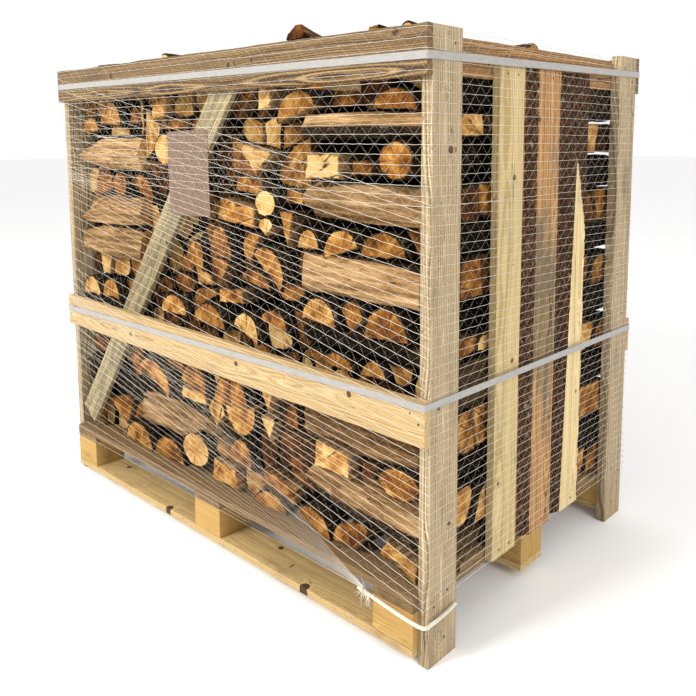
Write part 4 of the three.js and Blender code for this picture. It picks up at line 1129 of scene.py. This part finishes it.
def pallet():
    columns = ("left", "middle", "right")
    for k, row in enumerate(("front", "middle", "back")):
        boxed(f"runner_board_{row}", "pallet_wood", PALLET_WOOD, "x", 11 + k, warp=0.0013, knots=RUNNER_KNOTS)
        for c, column in enumerate(columns):
            boxed(f"block_{row}_{column}", "pallet_wood", BLOCK_WOOD, "x", 20 + 3 * k + c, knots=(NO_KNOT,),
                  pith=(0.02 + 0.02 * c, 0.03 - 0.02 * k))
    for k, column in enumerate(columns):
        boxed(f"cross_board_{column}", "pallet_wood", DECK_WOOD, "y", 31 + k)
    for k in range(6):
        boxed(f"deck_board_{k + 1}", "pallet_wood", DECK_WOOD, "x", 41 + k)


# Middle board: height of its middle, width, thickness, and how much it falls to the right a metre
MIDDLE_Z = 0.5395
MIDDLE_WIDTH = 0.095
MIDDLE_THICK = 0.0175
MIDDLE_FALL = 0.0095

# Brace: its run and rise, its middle, width and thickness
BRACE_RUN = 0.801
BRACE_RISE = 1.081
BRACE_X, BRACE_Z = -0.2665, 0.7435
BRACE_WIDTH = 0.078
BRACE_THICK = 0.016


def frame_boards():
    """Posts, the long sides' boards and braces, and the rails of the short ends."""
    for k, name in enumerate(("post_front_left", "post_front_right", "post_back_left", "post_back_right")):
        boxed(name, "post_wood", POST_WOOD, "z", 51 + k, knots=POST_KNOTS.get(name), warp=0.001)
    long = math.hypot(BRACE_RUN, BRACE_RISE)
    slope = (BRACE_RUN / long, 0, BRACE_RISE / long)
    for k, (end, sy) in enumerate((("front", -1), ("back", 1))):
        boxed(f"top_board_{end}", "board_wood", TOP_WOOD, "x", 61 + k, warp=0.0014)
        place = (0, sy * (HALF_DEPTH - MIDDLE_THICK / 2), MIDDLE_Z)
        board(f"middle_board_{end}", "board_wood", (MIDDLE_WOOD,), (X, Z, Y), place, 2 * HALF_LENGTH,
              MIDDLE_WIDTH, MIDDLE_THICK, 65 + k, shear=-MIDDLE_FALL, knots=MIDDLE_KNOTS)
        place = (BRACE_X, sy * (POST_FRONT - BRACE_THICK / 2), BRACE_Z)
        board(f"brace_{end}", "post_wood", (BRACE_WOOD,), (slope, (-slope[2], 0, slope[0]), Y), place, long,
              BRACE_WIDTH, BRACE_THICK, 71 + k, light=1.3,
              age=lambda at: 1.1 * math.exp(-((at + 0.10) / 0.30) ** 2))
    for k, side in enumerate(("left", "right")):
        boxed(f"rail_{side}", "slat_wood", ORANGE_WOOD, "y", 75 + k)


# Slats: their inner face, thickness, lower and upper end
SLAT_INNER = 0.7103
SLAT_THICK = 0.020
SLAT_LOW = 0.128
SLAT_HIGH = 1.257


def slat(name, sx, y_low, y_high, material, seed, wane=None, edge_bark=LOG_BARK, **more):
    """An upright slat outside the pallet's end. Its outer face is the one away from the logs."""
    place = (sx * (SLAT_INNER + SLAT_THICK / 2), (y_low + y_high) / 2 * MM, (SLAT_LOW + SLAT_HIGH) / 2)
    board(name, "slat_wood", (material, edge_bark), (Z, Y, X), place, SLAT_HIGH - SLAT_LOW,
          (y_high - y_low) * MM, SLAT_THICK, seed, wane=wane, warp=0.0012,
          bark_edge=None if wane is None else (-1, sx), **more)


pallet()
frame_boards()
slat("slat_right_1", 1, -215, -115, SLAT_WOOD, 81, knots=SLAT_KNOTS)
slat("slat_right_2", 1, -82, 52, ORANGE_WOOD, 82, lambda t: 0.038 - 0.004 * t, RED_BARK, light=1.45,
     age=lambda up: math.exp(-((up + 0.02) / 0.24) ** 2))


# The sawn patch of a slat's outer face: the height and place of its point, how far below it is as
# wide as it gets, and how far it then reaches to both sides
PATCH_TOP = 0.35
PATCH_MIDDLE = 0.012
PATCH_POINT = 0.17
PATCH_REACH = (0.043, 0.050)


def bark_above(kind, place):
    """Bark on the outer face of a slat, beyond a sawn patch that runs up to a point."""
    up, across, out = place
    wide = max(0.0, min(1.0, (PATCH_TOP - up) / PATCH_POINT))
    ragged = 0.004 * noise.noise((up * 40, across * 90, 3.0))
    start, stop = PATCH_MIDDLE - PATCH_REACH[0] * wide, PATCH_MIDDLE + PATCH_REACH[1] * wide
    return kind if out < 0.004 or start + ragged < across < stop + ragged else 1


slat("slat_right_3", 1, 72, 202, PALE_SLAT_WOOD, 83, lambda t: 0.037 + 0.055 * t, RED_BARK, choose=bark_above,
     pitch=0.0035, ring_pitch=0.0045)
slat("slat_left_1", -1, -230, -130, SLAT_WOOD, 84)
slat("slat_left_2", -1, -52, 48, SLAT_WOOD, 85)
slat("slat_left_3", -1, 120, 222, SLAT_WOOD, 86, lambda t: 0.020 + 0.004 * t, LOG_BARK)


# Nails in millimetres: along and up on the long boards, on the posts' and on the slats' outer faces
BOARD_NAILS = ((702, 1290), (718, 1246), (700, 552), (722, 533), (716, 570))
POST_NAILS = ((392, 1284), (440, 1250), (400, 150), (446, 132), (410, 48), (438, 96))
SLAT_NAILS = {1: (-186, -143, 12, 165), -1: (-200, -160, -20, 22, 165, 200)}
SLAT_NAIL_HEIGHTS = (1238, 147)

# A nail head's profile: radius, and height over the wood
NAIL_RINGS = ((0.0030, -0.0006), (0.0030, 0.0003), (0.0024, 0.0006), (0.0010, 0.0005))
NAIL_SIDES = 10


def nail_spots():
    """Where each nail is, with the outward direction there."""
    for sy in (-1, 1):
        for sx in (-1, 1):
            for x, z in BOARD_NAILS:
                yield (sx * x * MM, sy * HALF_DEPTH, z * MM), (0, sy, 0)
            for y, z in POST_NAILS:
                yield (sx * HALF_LENGTH, sy * y * MM, z * MM), (sx, 0, 0)
    for sx, places in SLAT_NAILS.items():
        for y in places:
            for z in SLAT_NAIL_HEIGHTS:
                yield (sx * (SLAT_INNER + SLAT_THICK), y * MM, z * MM), (sx, 0, 0)


def nail_heads():
    mesh = Mesh("nails", (STEEL,))
    faces, _ = grid_faces(len(NAIL_RINGS), NAIL_SIDES, True)
    last = (len(NAIL_RINGS) - 1) * NAIL_SIDES
    faces.append(tuple(reversed(range(last, last + NAIL_SIDES))))
    faces.append(tuple(range(NAIL_SIDES)))
    turns = [2 * math.pi * i / NAIL_SIDES for i in range(NAIL_SIDES)]
    for spot, normal in nail_spots():
        out, up = np.array(normal), np.array(Z)
        other = np.cross(out, up)
        points = [np.array(spot) + out * height + radius * (math.cos(a) * up + math.sin(a) * other)
                  for radius, height in NAIL_RINGS for a in turns]
        mesh.add_plain(np.array(points), faces)
    mesh.place("strap_plastic")


nail_heads()


# Threads
def tube(mesh, line, radius, out, sides=3, closed=False):
    """A tube along a line of points, with one radius or one for each point. out is a direction that
    the line doesn't follow, or one for each point."""
    line = np.asarray(line, float)
    ahead = np.roll(line, -1, 0) if closed else np.vstack([line[1:], line[-1:] * 2 - line[-2:-1]])
    behind = np.roll(line, 1, 0) if closed else np.vstack([line[:1] * 2 - line[1:2], line[:-1]])
    tangent = unit_rows(ahead - behind)
    across = unit_rows(np.cross(tangent, np.asarray(out, float)))
    lift = np.cross(across, tangent)
    size = np.broadcast_to(radius, len(line))[:, None]
    turns = [2 * math.pi * (i + 0.25) / sides for i in range(sides)]
    rings = [line + size * (math.cos(a) * lift + math.sin(a) * across) for a in turns]
    points = np.stack(rings, 1).reshape(-1, 3)
    count = len(line)
    faces = []
    for r in range(count if closed else count - 1):
        s = (r + 1) % count
        for i in range(sides):
            j = (i + 1) % sides
            faces.append((r * sides + i, s * sides + i, s * sides + j, r * sides + j))
    if not closed:
        faces.append(tuple(range(sides)))
        faces.append(tuple((count - 1) * sides + i for i in reversed(range(sides))))
    mesh.add_plain(points, faces)


# The net lies on the boards and posts, dips between the long boards and sags at the short ends
NET_X = HALF_LENGTH + 0.0010
NET_Y = HALF_DEPTH + 0.0010
NET_DIP = 0.0150
NET_DIP_REACH = 0.11
NET_SAG = 0.0040
NET_LOW, NET_HIGH = 0.1230, 1.3120
STITCH = 0.0205
BOARD_BANDS = ((0.10, 0.160), (0.484, 0.598), (1.215, 1.32))


def dip(z):
    """How far the net of the long sides lies behind the boards' faces at the height z."""
    gap = min(max(low - z, z - high, 0.0) for low, high in BOARD_BANDS)
    share = min(1.0, gap / NET_DIP_REACH)
    return NET_DIP * share * share * (3 - 2 * share)


def net_place(s, z):
    """A point on the net's surface and its outward direction: s runs 0 to 4 round the crate, from
    the front left corner along the front, the right end, the back and the left end."""
    y = NET_Y - dip(z)
    side, t = int(s) % 4, s - int(s)
    bow = NET_SAG * math.sin(math.pi * t)
    if side == 0:
        return (-NET_X + 2 * NET_X * t, -y, z), (0, -1, 0)
    if side == 1:
        return (NET_X - bow, -y + 2 * y * t, z), (1, 0, 0)
    if side == 2:
        return (NET_X - 2 * NET_X * t, y, z), (0, 1, 0)
    return (-NET_X + bow, y - 2 * y * t, z), (-1, 0, 0)


# How many stitches each side has, and where each is as s
STITCHES = tuple(round(2 * half / STITCH / 2) * 2 for half in (NET_X, NET_Y, NET_X, NET_Y))
ALL_STATIONS = [side + k / n for side, n in enumerate(STITCHES) for k in range(n)]


# Chains of stitches: how many, and the height of the lowest and highest at the near right corner. A
# chain waves up and down from stitch to stitch, and wanders slowly between the corners.
UPPER_CHAINS, UPPER_NET = 18, (0.968, 1.309)
LOWER_CHAINS, LOWER_NET = 42, (0.140, 0.972)
GATHERED_CHAINS = 22
CHAIN_WAVE = 0.0005
CHAIN_WANDER = 0.0035

# How far off the chains the threads between them lie, and how much thinner every other one is
THREAD_OFF = 0.0005
THIN_SHARE = 0.75


def chain_line(heights, seed):
    """Points of one chain of stitches. heights are at the corners s = 0 to 4; the chain waves a
    little up and down, where the threads between the chains pull at it."""
    points, outs = [], []
    for k, s in enumerate(ALL_STATIONS):
        z = float(np.interp(s, range(5), heights))
        wander = CHAIN_WANDER * noise.noise((s * 2.2, seed * 0.37, 0)) * math.sin(math.pi * (s % 1))
        z += CHAIN_WAVE * (1 if k % 2 else -1) + wander
        p, out = net_place(s, min(max(z, NET_LOW), NET_HIGH))
        points.append(p)
        outs.append(out)
    return np.array(points), np.array(outs)


def knit(mesh, chains, closed, thick, thin, until=None):
    """Chains of radius thick, and threads of radius thin up and down between neighbouring ones, as far
    as the station until."""
    for line, outs in chains:
        tube(mesh, line, thick, outs, closed=closed)
    for row, ((low, out), (high, _)) in enumerate(zip(chains, chains[1:])):
        for k in range(len(low) if until is None else until):
            a, b = (low, high) if (k + row) % 2 else (high, low)
            ends = np.array([a[k], b[(k + 1) % len(low)]]) + out[k] * THREAD_OFF
            tube(mesh, ends, thin if (k + row) % 2 else thin * THIN_SHARE, out[k])


# How far the upper turns climb to the front's left corner and drop to the back's right one
UPPER_CLIMB = 0.004
UPPER_DROP = 0.006

# How far the lower turns climb to the front's left corner, how much that swings and grows from chain
# to chain, its share at the back's left corner, and how far the highest drops to the back's right one
LOWER_CLIMB = 0.255
CLIMB_SWING = 0.05
CLIMB_GROWTH = 0.0006
BACK_CLIMB = 0.45
LOWER_DROP = 0.034


def upper_chain(i):
    """Corner heights of a chain of the upper turns, which lie almost level."""
    z = UPPER_NET[0] + (UPPER_NET[1] - UPPER_NET[0]) * i / (UPPER_CHAINS - 1)
    return [z + UPPER_CLIMB, z, z - UPPER_DROP, z, z + UPPER_CLIMB]


def lower_chain(i):
    """Corner heights of a chain of the lower turns, which climb to the left along the front."""
    z = LOWER_NET[0] + (LOWER_NET[1] - LOWER_NET[0]) * i / (LOWER_CHAINS - 1)
    climb = LOWER_CLIMB + CLIMB_SWING * math.sin(i * 0.33) + CLIMB_GROWTH * i
    drop = LOWER_DROP * (i / LOWER_CHAINS)
    return [z + climb, z, z - drop, z + climb * BACK_CLIMB, z + climb]


# The lowest turn is drawn together into the tail at the foot of the front, from s = 4 to the knot. It
# is this high at the back's right corner and widest at the front's left one, over its lowest chain.
KNOT_X, KNOT_Z = 0.588, 0.1205
KNOT_S = (KNOT_X + NET_X) / (2 * NET_X)
GATHERED_LOW = 0.128
GATHERED_SPREAD = 0.36
GATHERED_WIDEST = 0.58
GATHERED_STATIONS = [s for s in ALL_STATIONS if s >= 2] + [4 + s for s in ALL_STATIONS if s <= KNOT_S]
KNITTED_STATIONS = sum(s <= 4.1 for s in GATHERED_STATIONS)

# Its chains wave and wander like the others, lie outside them, and stay above the pallet
GATHERED_WAVE = 0.0012
GATHERED_WANDER = 0.005
GATHERED_OFF = 0.0009
GATHERED_FLOOR = 0.1190
GATHERED_FAN = 0.003

# Radii of the threads of each layer: its chains and what joins them. Towards the knot chains thin out.
UPPER_THREADS = (0.00043, 0.00014)
LOWER_THREADS = (0.00040, 0.00011)
GATHERED_THREAD, KNOT_THINNER = 0.00034, 0.00020
THINNING = [GATHERED_THREAD - KNOT_THINNER * max(0.0, (s - 4) / KNOT_S) for s in GATHERED_STATIONS]
GATHERED_THREADS = (THINNING, 0.0001)


def gathered_chain(i):
    """Points of one chain of the lowest turn, from the back's right corner to the knot."""
    points, outs = [], []
    start = GATHERED_LOW + GATHERED_WIDEST * i / (GATHERED_CHAINS - 1)
    back = GATHERED_LOW + GATHERED_SPREAD * i / (GATHERED_CHAINS - 1)
    for k, s in enumerate(GATHERED_STATIONS):
        wave = GATHERED_WAVE * (1 if k % 2 else -1)
        if s < 4:
            z = back + (start - back) * (s - 2) / 2 + wave
        else:
            share = (s - 4) / KNOT_S
            z = start + (KNOT_Z - start) * share + wave * (1 - share)
            z += GATHERED_WANDER * noise.noise((share * 4, i * 0.9, 3)) * math.sin(math.pi * share)
        z = max(z, GATHERED_FLOOR + GATHERED_FAN * (i / GATHERED_CHAINS))
        p, out = net_place(s % 4, z)
        points.append(np.array(p) + np.array(out) * GATHERED_OFF)
        outs.append(out)
    return np.array(points), np.array(outs)


def build_net():
    """Three layers: round level above, climbing below, and the turn that is drawn together."""
    upper = [chain_line(upper_chain(i), i) for i in range(UPPER_CHAINS)]
    lower = [chain_line(lower_chain(i), 40 + i) for i in range(LOWER_CHAINS)]
    gathered = [gathered_chain(i) for i in range(GATHERED_CHAINS)]
    for name, layer in (("net_dressed", (upper, True, *UPPER_THREADS)),
                        ("net_lower", (lower, True, *LOWER_THREADS)),
                        ("net_gathered", (gathered, False, *GATHERED_THREADS, KNITTED_STATIONS))):
        mesh = Mesh(name, (THREAD,))
        knit(mesh, *layer)
        mesh.place("net_plastic", ["net"])


build_net()


def smooth_line(points, count):
    """A line of count points through the given ones, by cubic pieces."""
    points = [points[0]] + list(points) + [points[-1]]
    line = []
    spans = len(points) - 3
    for k in range(count):
        t = k / (count - 1) * spans
        i = min(int(t), spans - 1)
        f = t - i
        p0, p1, p2, p3 = (np.array(p) for p in points[i:i + 4])
        line.append(0.5 * (2 * p1 + (p2 - p0) * f + (2 * p0 - 5 * p1 + 4 * p2 - p3) * f ** 2 +
                           (3 * p1 - p0 - 3 * p2 + p3) * f ** 3))
    return np.array(line)


# The net's tail: its middle off the boards and posts, its route, and the strands it is twisted from
TAIL_OFF = 0.0073
TAIL_Y = -HALF_DEPTH - TAIL_OFF
TAIL_X = HALF_LENGTH + TAIL_OFF
TAIL_ROUTE = (
    (0.562, TAIL_Y + 0.002, 0.1215), (0.640, TAIL_Y, 0.114), (0.700, TAIL_Y, 0.108),
    (TAIL_X - 0.005, TAIL_Y + 0.005, 0.105), (TAIL_X - 0.001, -HALF_DEPTH + 0.02, 0.104),
    (TAIL_X - 0.001, -POST_FRONT + 0.05, 0.106), (TAIL_X - 0.002, -POST_FRONT + 0.088, 0.110),
)
STRAND = 0.0016
STRAND_RING = 0.0026
STRAND_TURN = 0.075


def tail_strands(mesh):
    """Six strands twisted round a seventh."""
    route = smooth_line(TAIL_ROUTE, 70)
    tangent = unit_rows(np.gradient(route, axis=0))
    side = unit_rows(np.cross(tangent, Z))
    lift = np.cross(side, tangent)
    far = np.concatenate([[0], np.cumsum(np.linalg.norm(np.diff(route, axis=0), axis=1))])
    for k in range(7):
        angle = 2 * math.pi * k / 6 + far / STRAND_TURN * 2 * math.pi
        ring = 0.0 if k == 6 else STRAND_RING
        line = route + ring * (np.cos(angle)[:, None] * side + np.sin(angle)[:, None] * lift)
        tube(mesh, line, STRAND, side, sides=5)


# Knot: its loops, the first one's middle, the steps from loop to loop, their radius, slant and thread
LOOPS = 3
LOOP_X, LOOP_Z = 0.578, 0.1195
LOOP_STEP, LOOP_FALL = 0.010, 0.002
LOOP_RADIUS = 0.0056
LOOP_SLANT = 0.35
LOOP_THREAD = 0.0015


def knot_loops(mesh):
    """Loops of thread round the start of the tail."""
    for k in range(LOOPS):
        centre = np.array((LOOP_X + LOOP_STEP * k, TAIL_Y + 0.001, LOOP_Z - LOOP_FALL * k))
        lean = LOOP_SLANT * (k - 1)
        loop = [centre + LOOP_RADIUS * np.array((lean * math.cos(a), 0.9 * math.sin(a), math.cos(a)))
                for a in np.linspace(0, 2 * math.pi, 18)[:-1]]
        tube(mesh, loop, LOOP_THREAD, X, sides=4, closed=True)


# Frayed ends: how many, the start and width and height of where they start, their least length and how
# much longer some are, their radius at the start and end, and how far off the boards they stay
FRAYED = 30
FRAYED_X, FRAYED_WIDE = 0.572, 0.028
FRAYED_Z, FRAYED_TALL = 0.118, 0.005
FRAYED_LENGTH, FRAYED_LONGER = 0.012, 0.022
FRAYED_THREAD = (0.0007, 0.0003)
FRAYED_OFF = (0.0128, 0.002)


def frayed_ends(mesh):
    """Loose ends of thread that stand out of the knot."""
    rng = np.random.default_rng(5)
    shares = np.linspace(0, 1, 6)
    for _ in range(FRAYED):
        start = np.array((FRAYED_X + FRAYED_WIDE * rng.random(), TAIL_Y,
                          FRAYED_Z + FRAYED_TALL * rng.random()))
        way = np.array((rng.normal(-0.2, 0.6), -0.12 * rng.random(), rng.normal(-0.5, 0.6)))
        way /= np.linalg.norm(way)
        length = FRAYED_LENGTH + FRAYED_LONGER * rng.random()
        curl = np.array((rng.normal(0, 0.5), 0, rng.normal(0, 0.5)))
        line = np.array([start + way * length * f + curl * 0.010 * f * f for f in shares])
        line[:, 1] = np.clip(line[:, 1], -HALF_DEPTH - FRAYED_OFF[0], -HALF_DEPTH - FRAYED_OFF[1])
        tube(mesh, line, np.linspace(*FRAYED_THREAD, 6), (0, -1, 0))


tail = Mesh("net_tail_dressed", (THREAD,))
tail_strands(tail)
knot_loops(tail)
frayed_ends(tail)
tail.place("net_plastic", ["net_tail"])


# Straps: their reach round the crate, section, the radius of their bends, the width of their thin
# edges, how far they wave up and down, how uneven their width and slant are, and how far outside that
# reach they lie
STRAP_X = HALF_LENGTH + 0.0018
STRAP_Y = HALF_DEPTH + 0.0018
STRAP_WIDTH = 0.016
STRAP_THICK = 0.0010
STRAP_BEND = 0.004
STRAP_EDGE = 0.0006
STRAP_WAVE = 0.0006
STRAP_UNEVEN = 0.0003
STRAP_OFF = 0.0003


def strap_path():
    """Points round the crate, near each other at its corners."""
    path = []
    for k, (cx, cy) in enumerate(((1, -1), (1, 1), (-1, 1), (-1, -1))):
        for i in range(5):
            a = -math.pi / 2 + k * math.pi / 2 + i * math.pi / 8
            path.append((cx * (STRAP_X - STRAP_BEND) + STRAP_BEND * math.cos(a),
                         cy * (STRAP_Y - STRAP_BEND) + STRAP_BEND * math.sin(a)))
    line = []
    for p, q in zip(path, path[1:] + path[:1]):
        line += divided(p, q, 0.03)
    return line


def build_strap(name, mid, slant_x, slant_y):
    """A flat band in a slightly slanting plane, with thin edges."""
    mesh = Mesh(name + "_dressed", (STRAP,))
    line = strap_path()
    rings = []
    for k, (x, y) in enumerate(line):
        p, q = np.array(line[k - 1]), np.array(line[(k + 1) % len(line)])
        way = (q - p) / np.linalg.norm(q - p)
        out = np.array((way[1], -way[0]))
        z = mid + slant_x * x / STRAP_X + slant_y * y / STRAP_Y
        z += STRAP_WAVE * noise.noise((x * 7, y * 7, mid))
        half = STRAP_WIDTH / 2 + STRAP_UNEVEN * noise.noise((x * 30, y * 30, mid + 3))
        lean = STRAP_UNEVEN * noise.noise((x * 9, y * 9, mid + 9))
        edge = half - STRAP_EDGE
        for thick, h in ((0, -half), (1, -edge), (0.8, 0), (1, edge), (0, half)):
            base = STRAP_OFF + STRAP_THICK * thick * 0.8 + lean * h / half
            rings.append((x + out[0] * base, y + out[1] * base, z + h))
    faces, _ = grid_faces(len(line) + 1, 5, True)
    faces = [tuple(f % len(rings) for f in face) for face in faces]
    mesh.add_plain(np.array(rings), faces)
    mesh.place("strap_plastic", [name])


build_strap("strap_top", 1.268, -0.004, 0.007)
build_strap("strap_middle", 0.553, 0.009, -0.008)


# Card: its middle, size, half thickness, turn, distance from the posts' plane, how far it buckles in
# wide and in small waves, and its columns and rows of faces
CARD_X, CARD_Z = -0.064, 1.011
CARD_WIDTH, CARD_HEIGHT = 0.180, 0.224
CARD_HALF = 0.0003
CARD_TURN = 0.025
CARD_OFF = 0.0010
CARD_BUCKLE = 0.0006
CARD_RIPPLE = 0.0003
COLUMNS, ROWS_UP = 24, 30


def card_point(c, r, layer):
    """A point of the card's front (-1) or back (1), slightly buckled by the net."""
    u, v = (c / COLUMNS - 0.5) * CARD_WIDTH, (r / ROWS_UP - 0.5) * CARD_HEIGHT
    buckle = CARD_BUCKLE * noise.noise((u * 22, v * 16, 4.0))
    buckle += CARD_RIPPLE * noise.noise((u * 70, v * 60, 8.0))
    x = CARD_X + u * math.cos(CARD_TURN) - v * math.sin(CARD_TURN)
    z = CARD_Z + u * math.sin(CARD_TURN) + v * math.cos(CARD_TURN)
    return x, -POST_FRONT - CARD_OFF + buckle * 0.9 + CARD_HALF * layer, z


def build_card():
    """A blank sheet of card."""
    mesh = Mesh("label_card_dressed", (CARD,))
    points = [card_point(c, r, layer)
              for layer in (-1, 1) for r in range(ROWS_UP + 1) for c in range(COLUMNS + 1)]
    stride, behind = COLUMNS + 1, len(points) // 2
    faces = []
    for r in range(ROWS_UP):
        for c in range(COLUMNS):
            a = r * stride + c
            face = (a, a + 1, a + 1 + stride, a + stride)
            faces.append(face)
            faces.append(tuple(f + behind for f in reversed(face)))
    top = ROWS_UP * stride
    rim = [*range(COLUMNS), *range(COLUMNS, COLUMNS + top, stride)]
    rim += [*range(top + COLUMNS, top, -1), *range(top, 0, -stride)]
    for a, b in zip(rim, rim[1:] + rim[:1]):
        faces.append((a, a + behind, b + behind, b))
    mesh.add_plain(np.array(points), faces)
    mesh.place("label_card", ["label_card"])


build_card()


# Floor, light and camera
FLOOR_REACH = 40
LIT_PLACE = Vector((0, 0, 0.6))


def build_floor():
    mesh = bpy.data.meshes.new("floor")
    corners = [(FLOOR_REACH * sx, FLOOR_REACH * sy, 0) for sx, sy in ((-1, -1), (1, -1), (1, 1), (-1, 1))]
    mesh.from_pydata(corners, [], [(0, 1, 2, 3)])
    mesh.materials.append(Tree("floor").finish((0.92, 0.92, 0.92, 1), 0.9))
    floor = bpy.data.objects.new("floor", mesh)
    bpy.context.scene.collection.objects.link(floor)


def area_light(name, place, size, power, color):
    """A soft lamp that looks at the crate's middle."""
    data = bpy.data.lights.new(name, "AREA")
    data.energy = power
    data.size = size
    data.color = color
    lamp = bpy.data.objects.new(name, data)
    lamp.location = place
    lamp.rotation_euler = (LIT_PLACE - Vector(place)).to_track_quat("-Z", "Y").to_euler()
    bpy.context.scene.collection.objects.link(lamp)


build_floor()
world = bpy.data.worlds.new("studio")
world.use_nodes = True
world.node_tree.nodes["Background"].inputs[0].default_value = (1.0, 1.0, 1.0, 1)
world.node_tree.nodes["Background"].inputs[1].default_value = 1.0
bpy.context.scene.world = world
area_light("key", (-0.8, -4.2, 3.4), 1.6, 250, (1.0, 0.97, 0.92))
area_light("side", (4.2, -0.8, 2.6), 1.8, 64, (1.0, 0.97, 0.93))

# Where the photograph was taken from: fitted to the boards' corners and edges
CAMERA = {"place": (1.6108, -1.6263, 1.1027), "azimuth": 43.334, "elevation": 6.949, "roll": -0.304,
          "lens": 39.10, "shift": -0.17}


def build_camera():
    data = bpy.data.cameras.new("camera")
    data.lens = CAMERA["lens"]
    data.sensor_width = 36
    data.shift_y = CAMERA["shift"]
    camera = bpy.data.objects.new("camera", data)
    az, el, roll = (math.radians(CAMERA[k]) for k in ("azimuth", "elevation", "roll"))
    back = Vector((math.sin(az) * math.cos(el), -math.cos(az) * math.cos(el), math.sin(el)))
    right = Vector((math.cos(az), math.sin(az), 0))
    up = back.cross(right)
    turned_right = math.cos(roll) * right + math.sin(roll) * up
    turned_up = -math.sin(roll) * right + math.cos(roll) * up
    pose = Matrix((turned_right, turned_up, back)).transposed().to_4x4()
    pose.translation = CAMERA["place"]
    camera.matrix_world = pose
    bpy.context.scene.collection.objects.link(camera)
    bpy.context.scene.camera = camera


build_camera()
bpy.context.scene.view_settings.view_transform = "Standard"
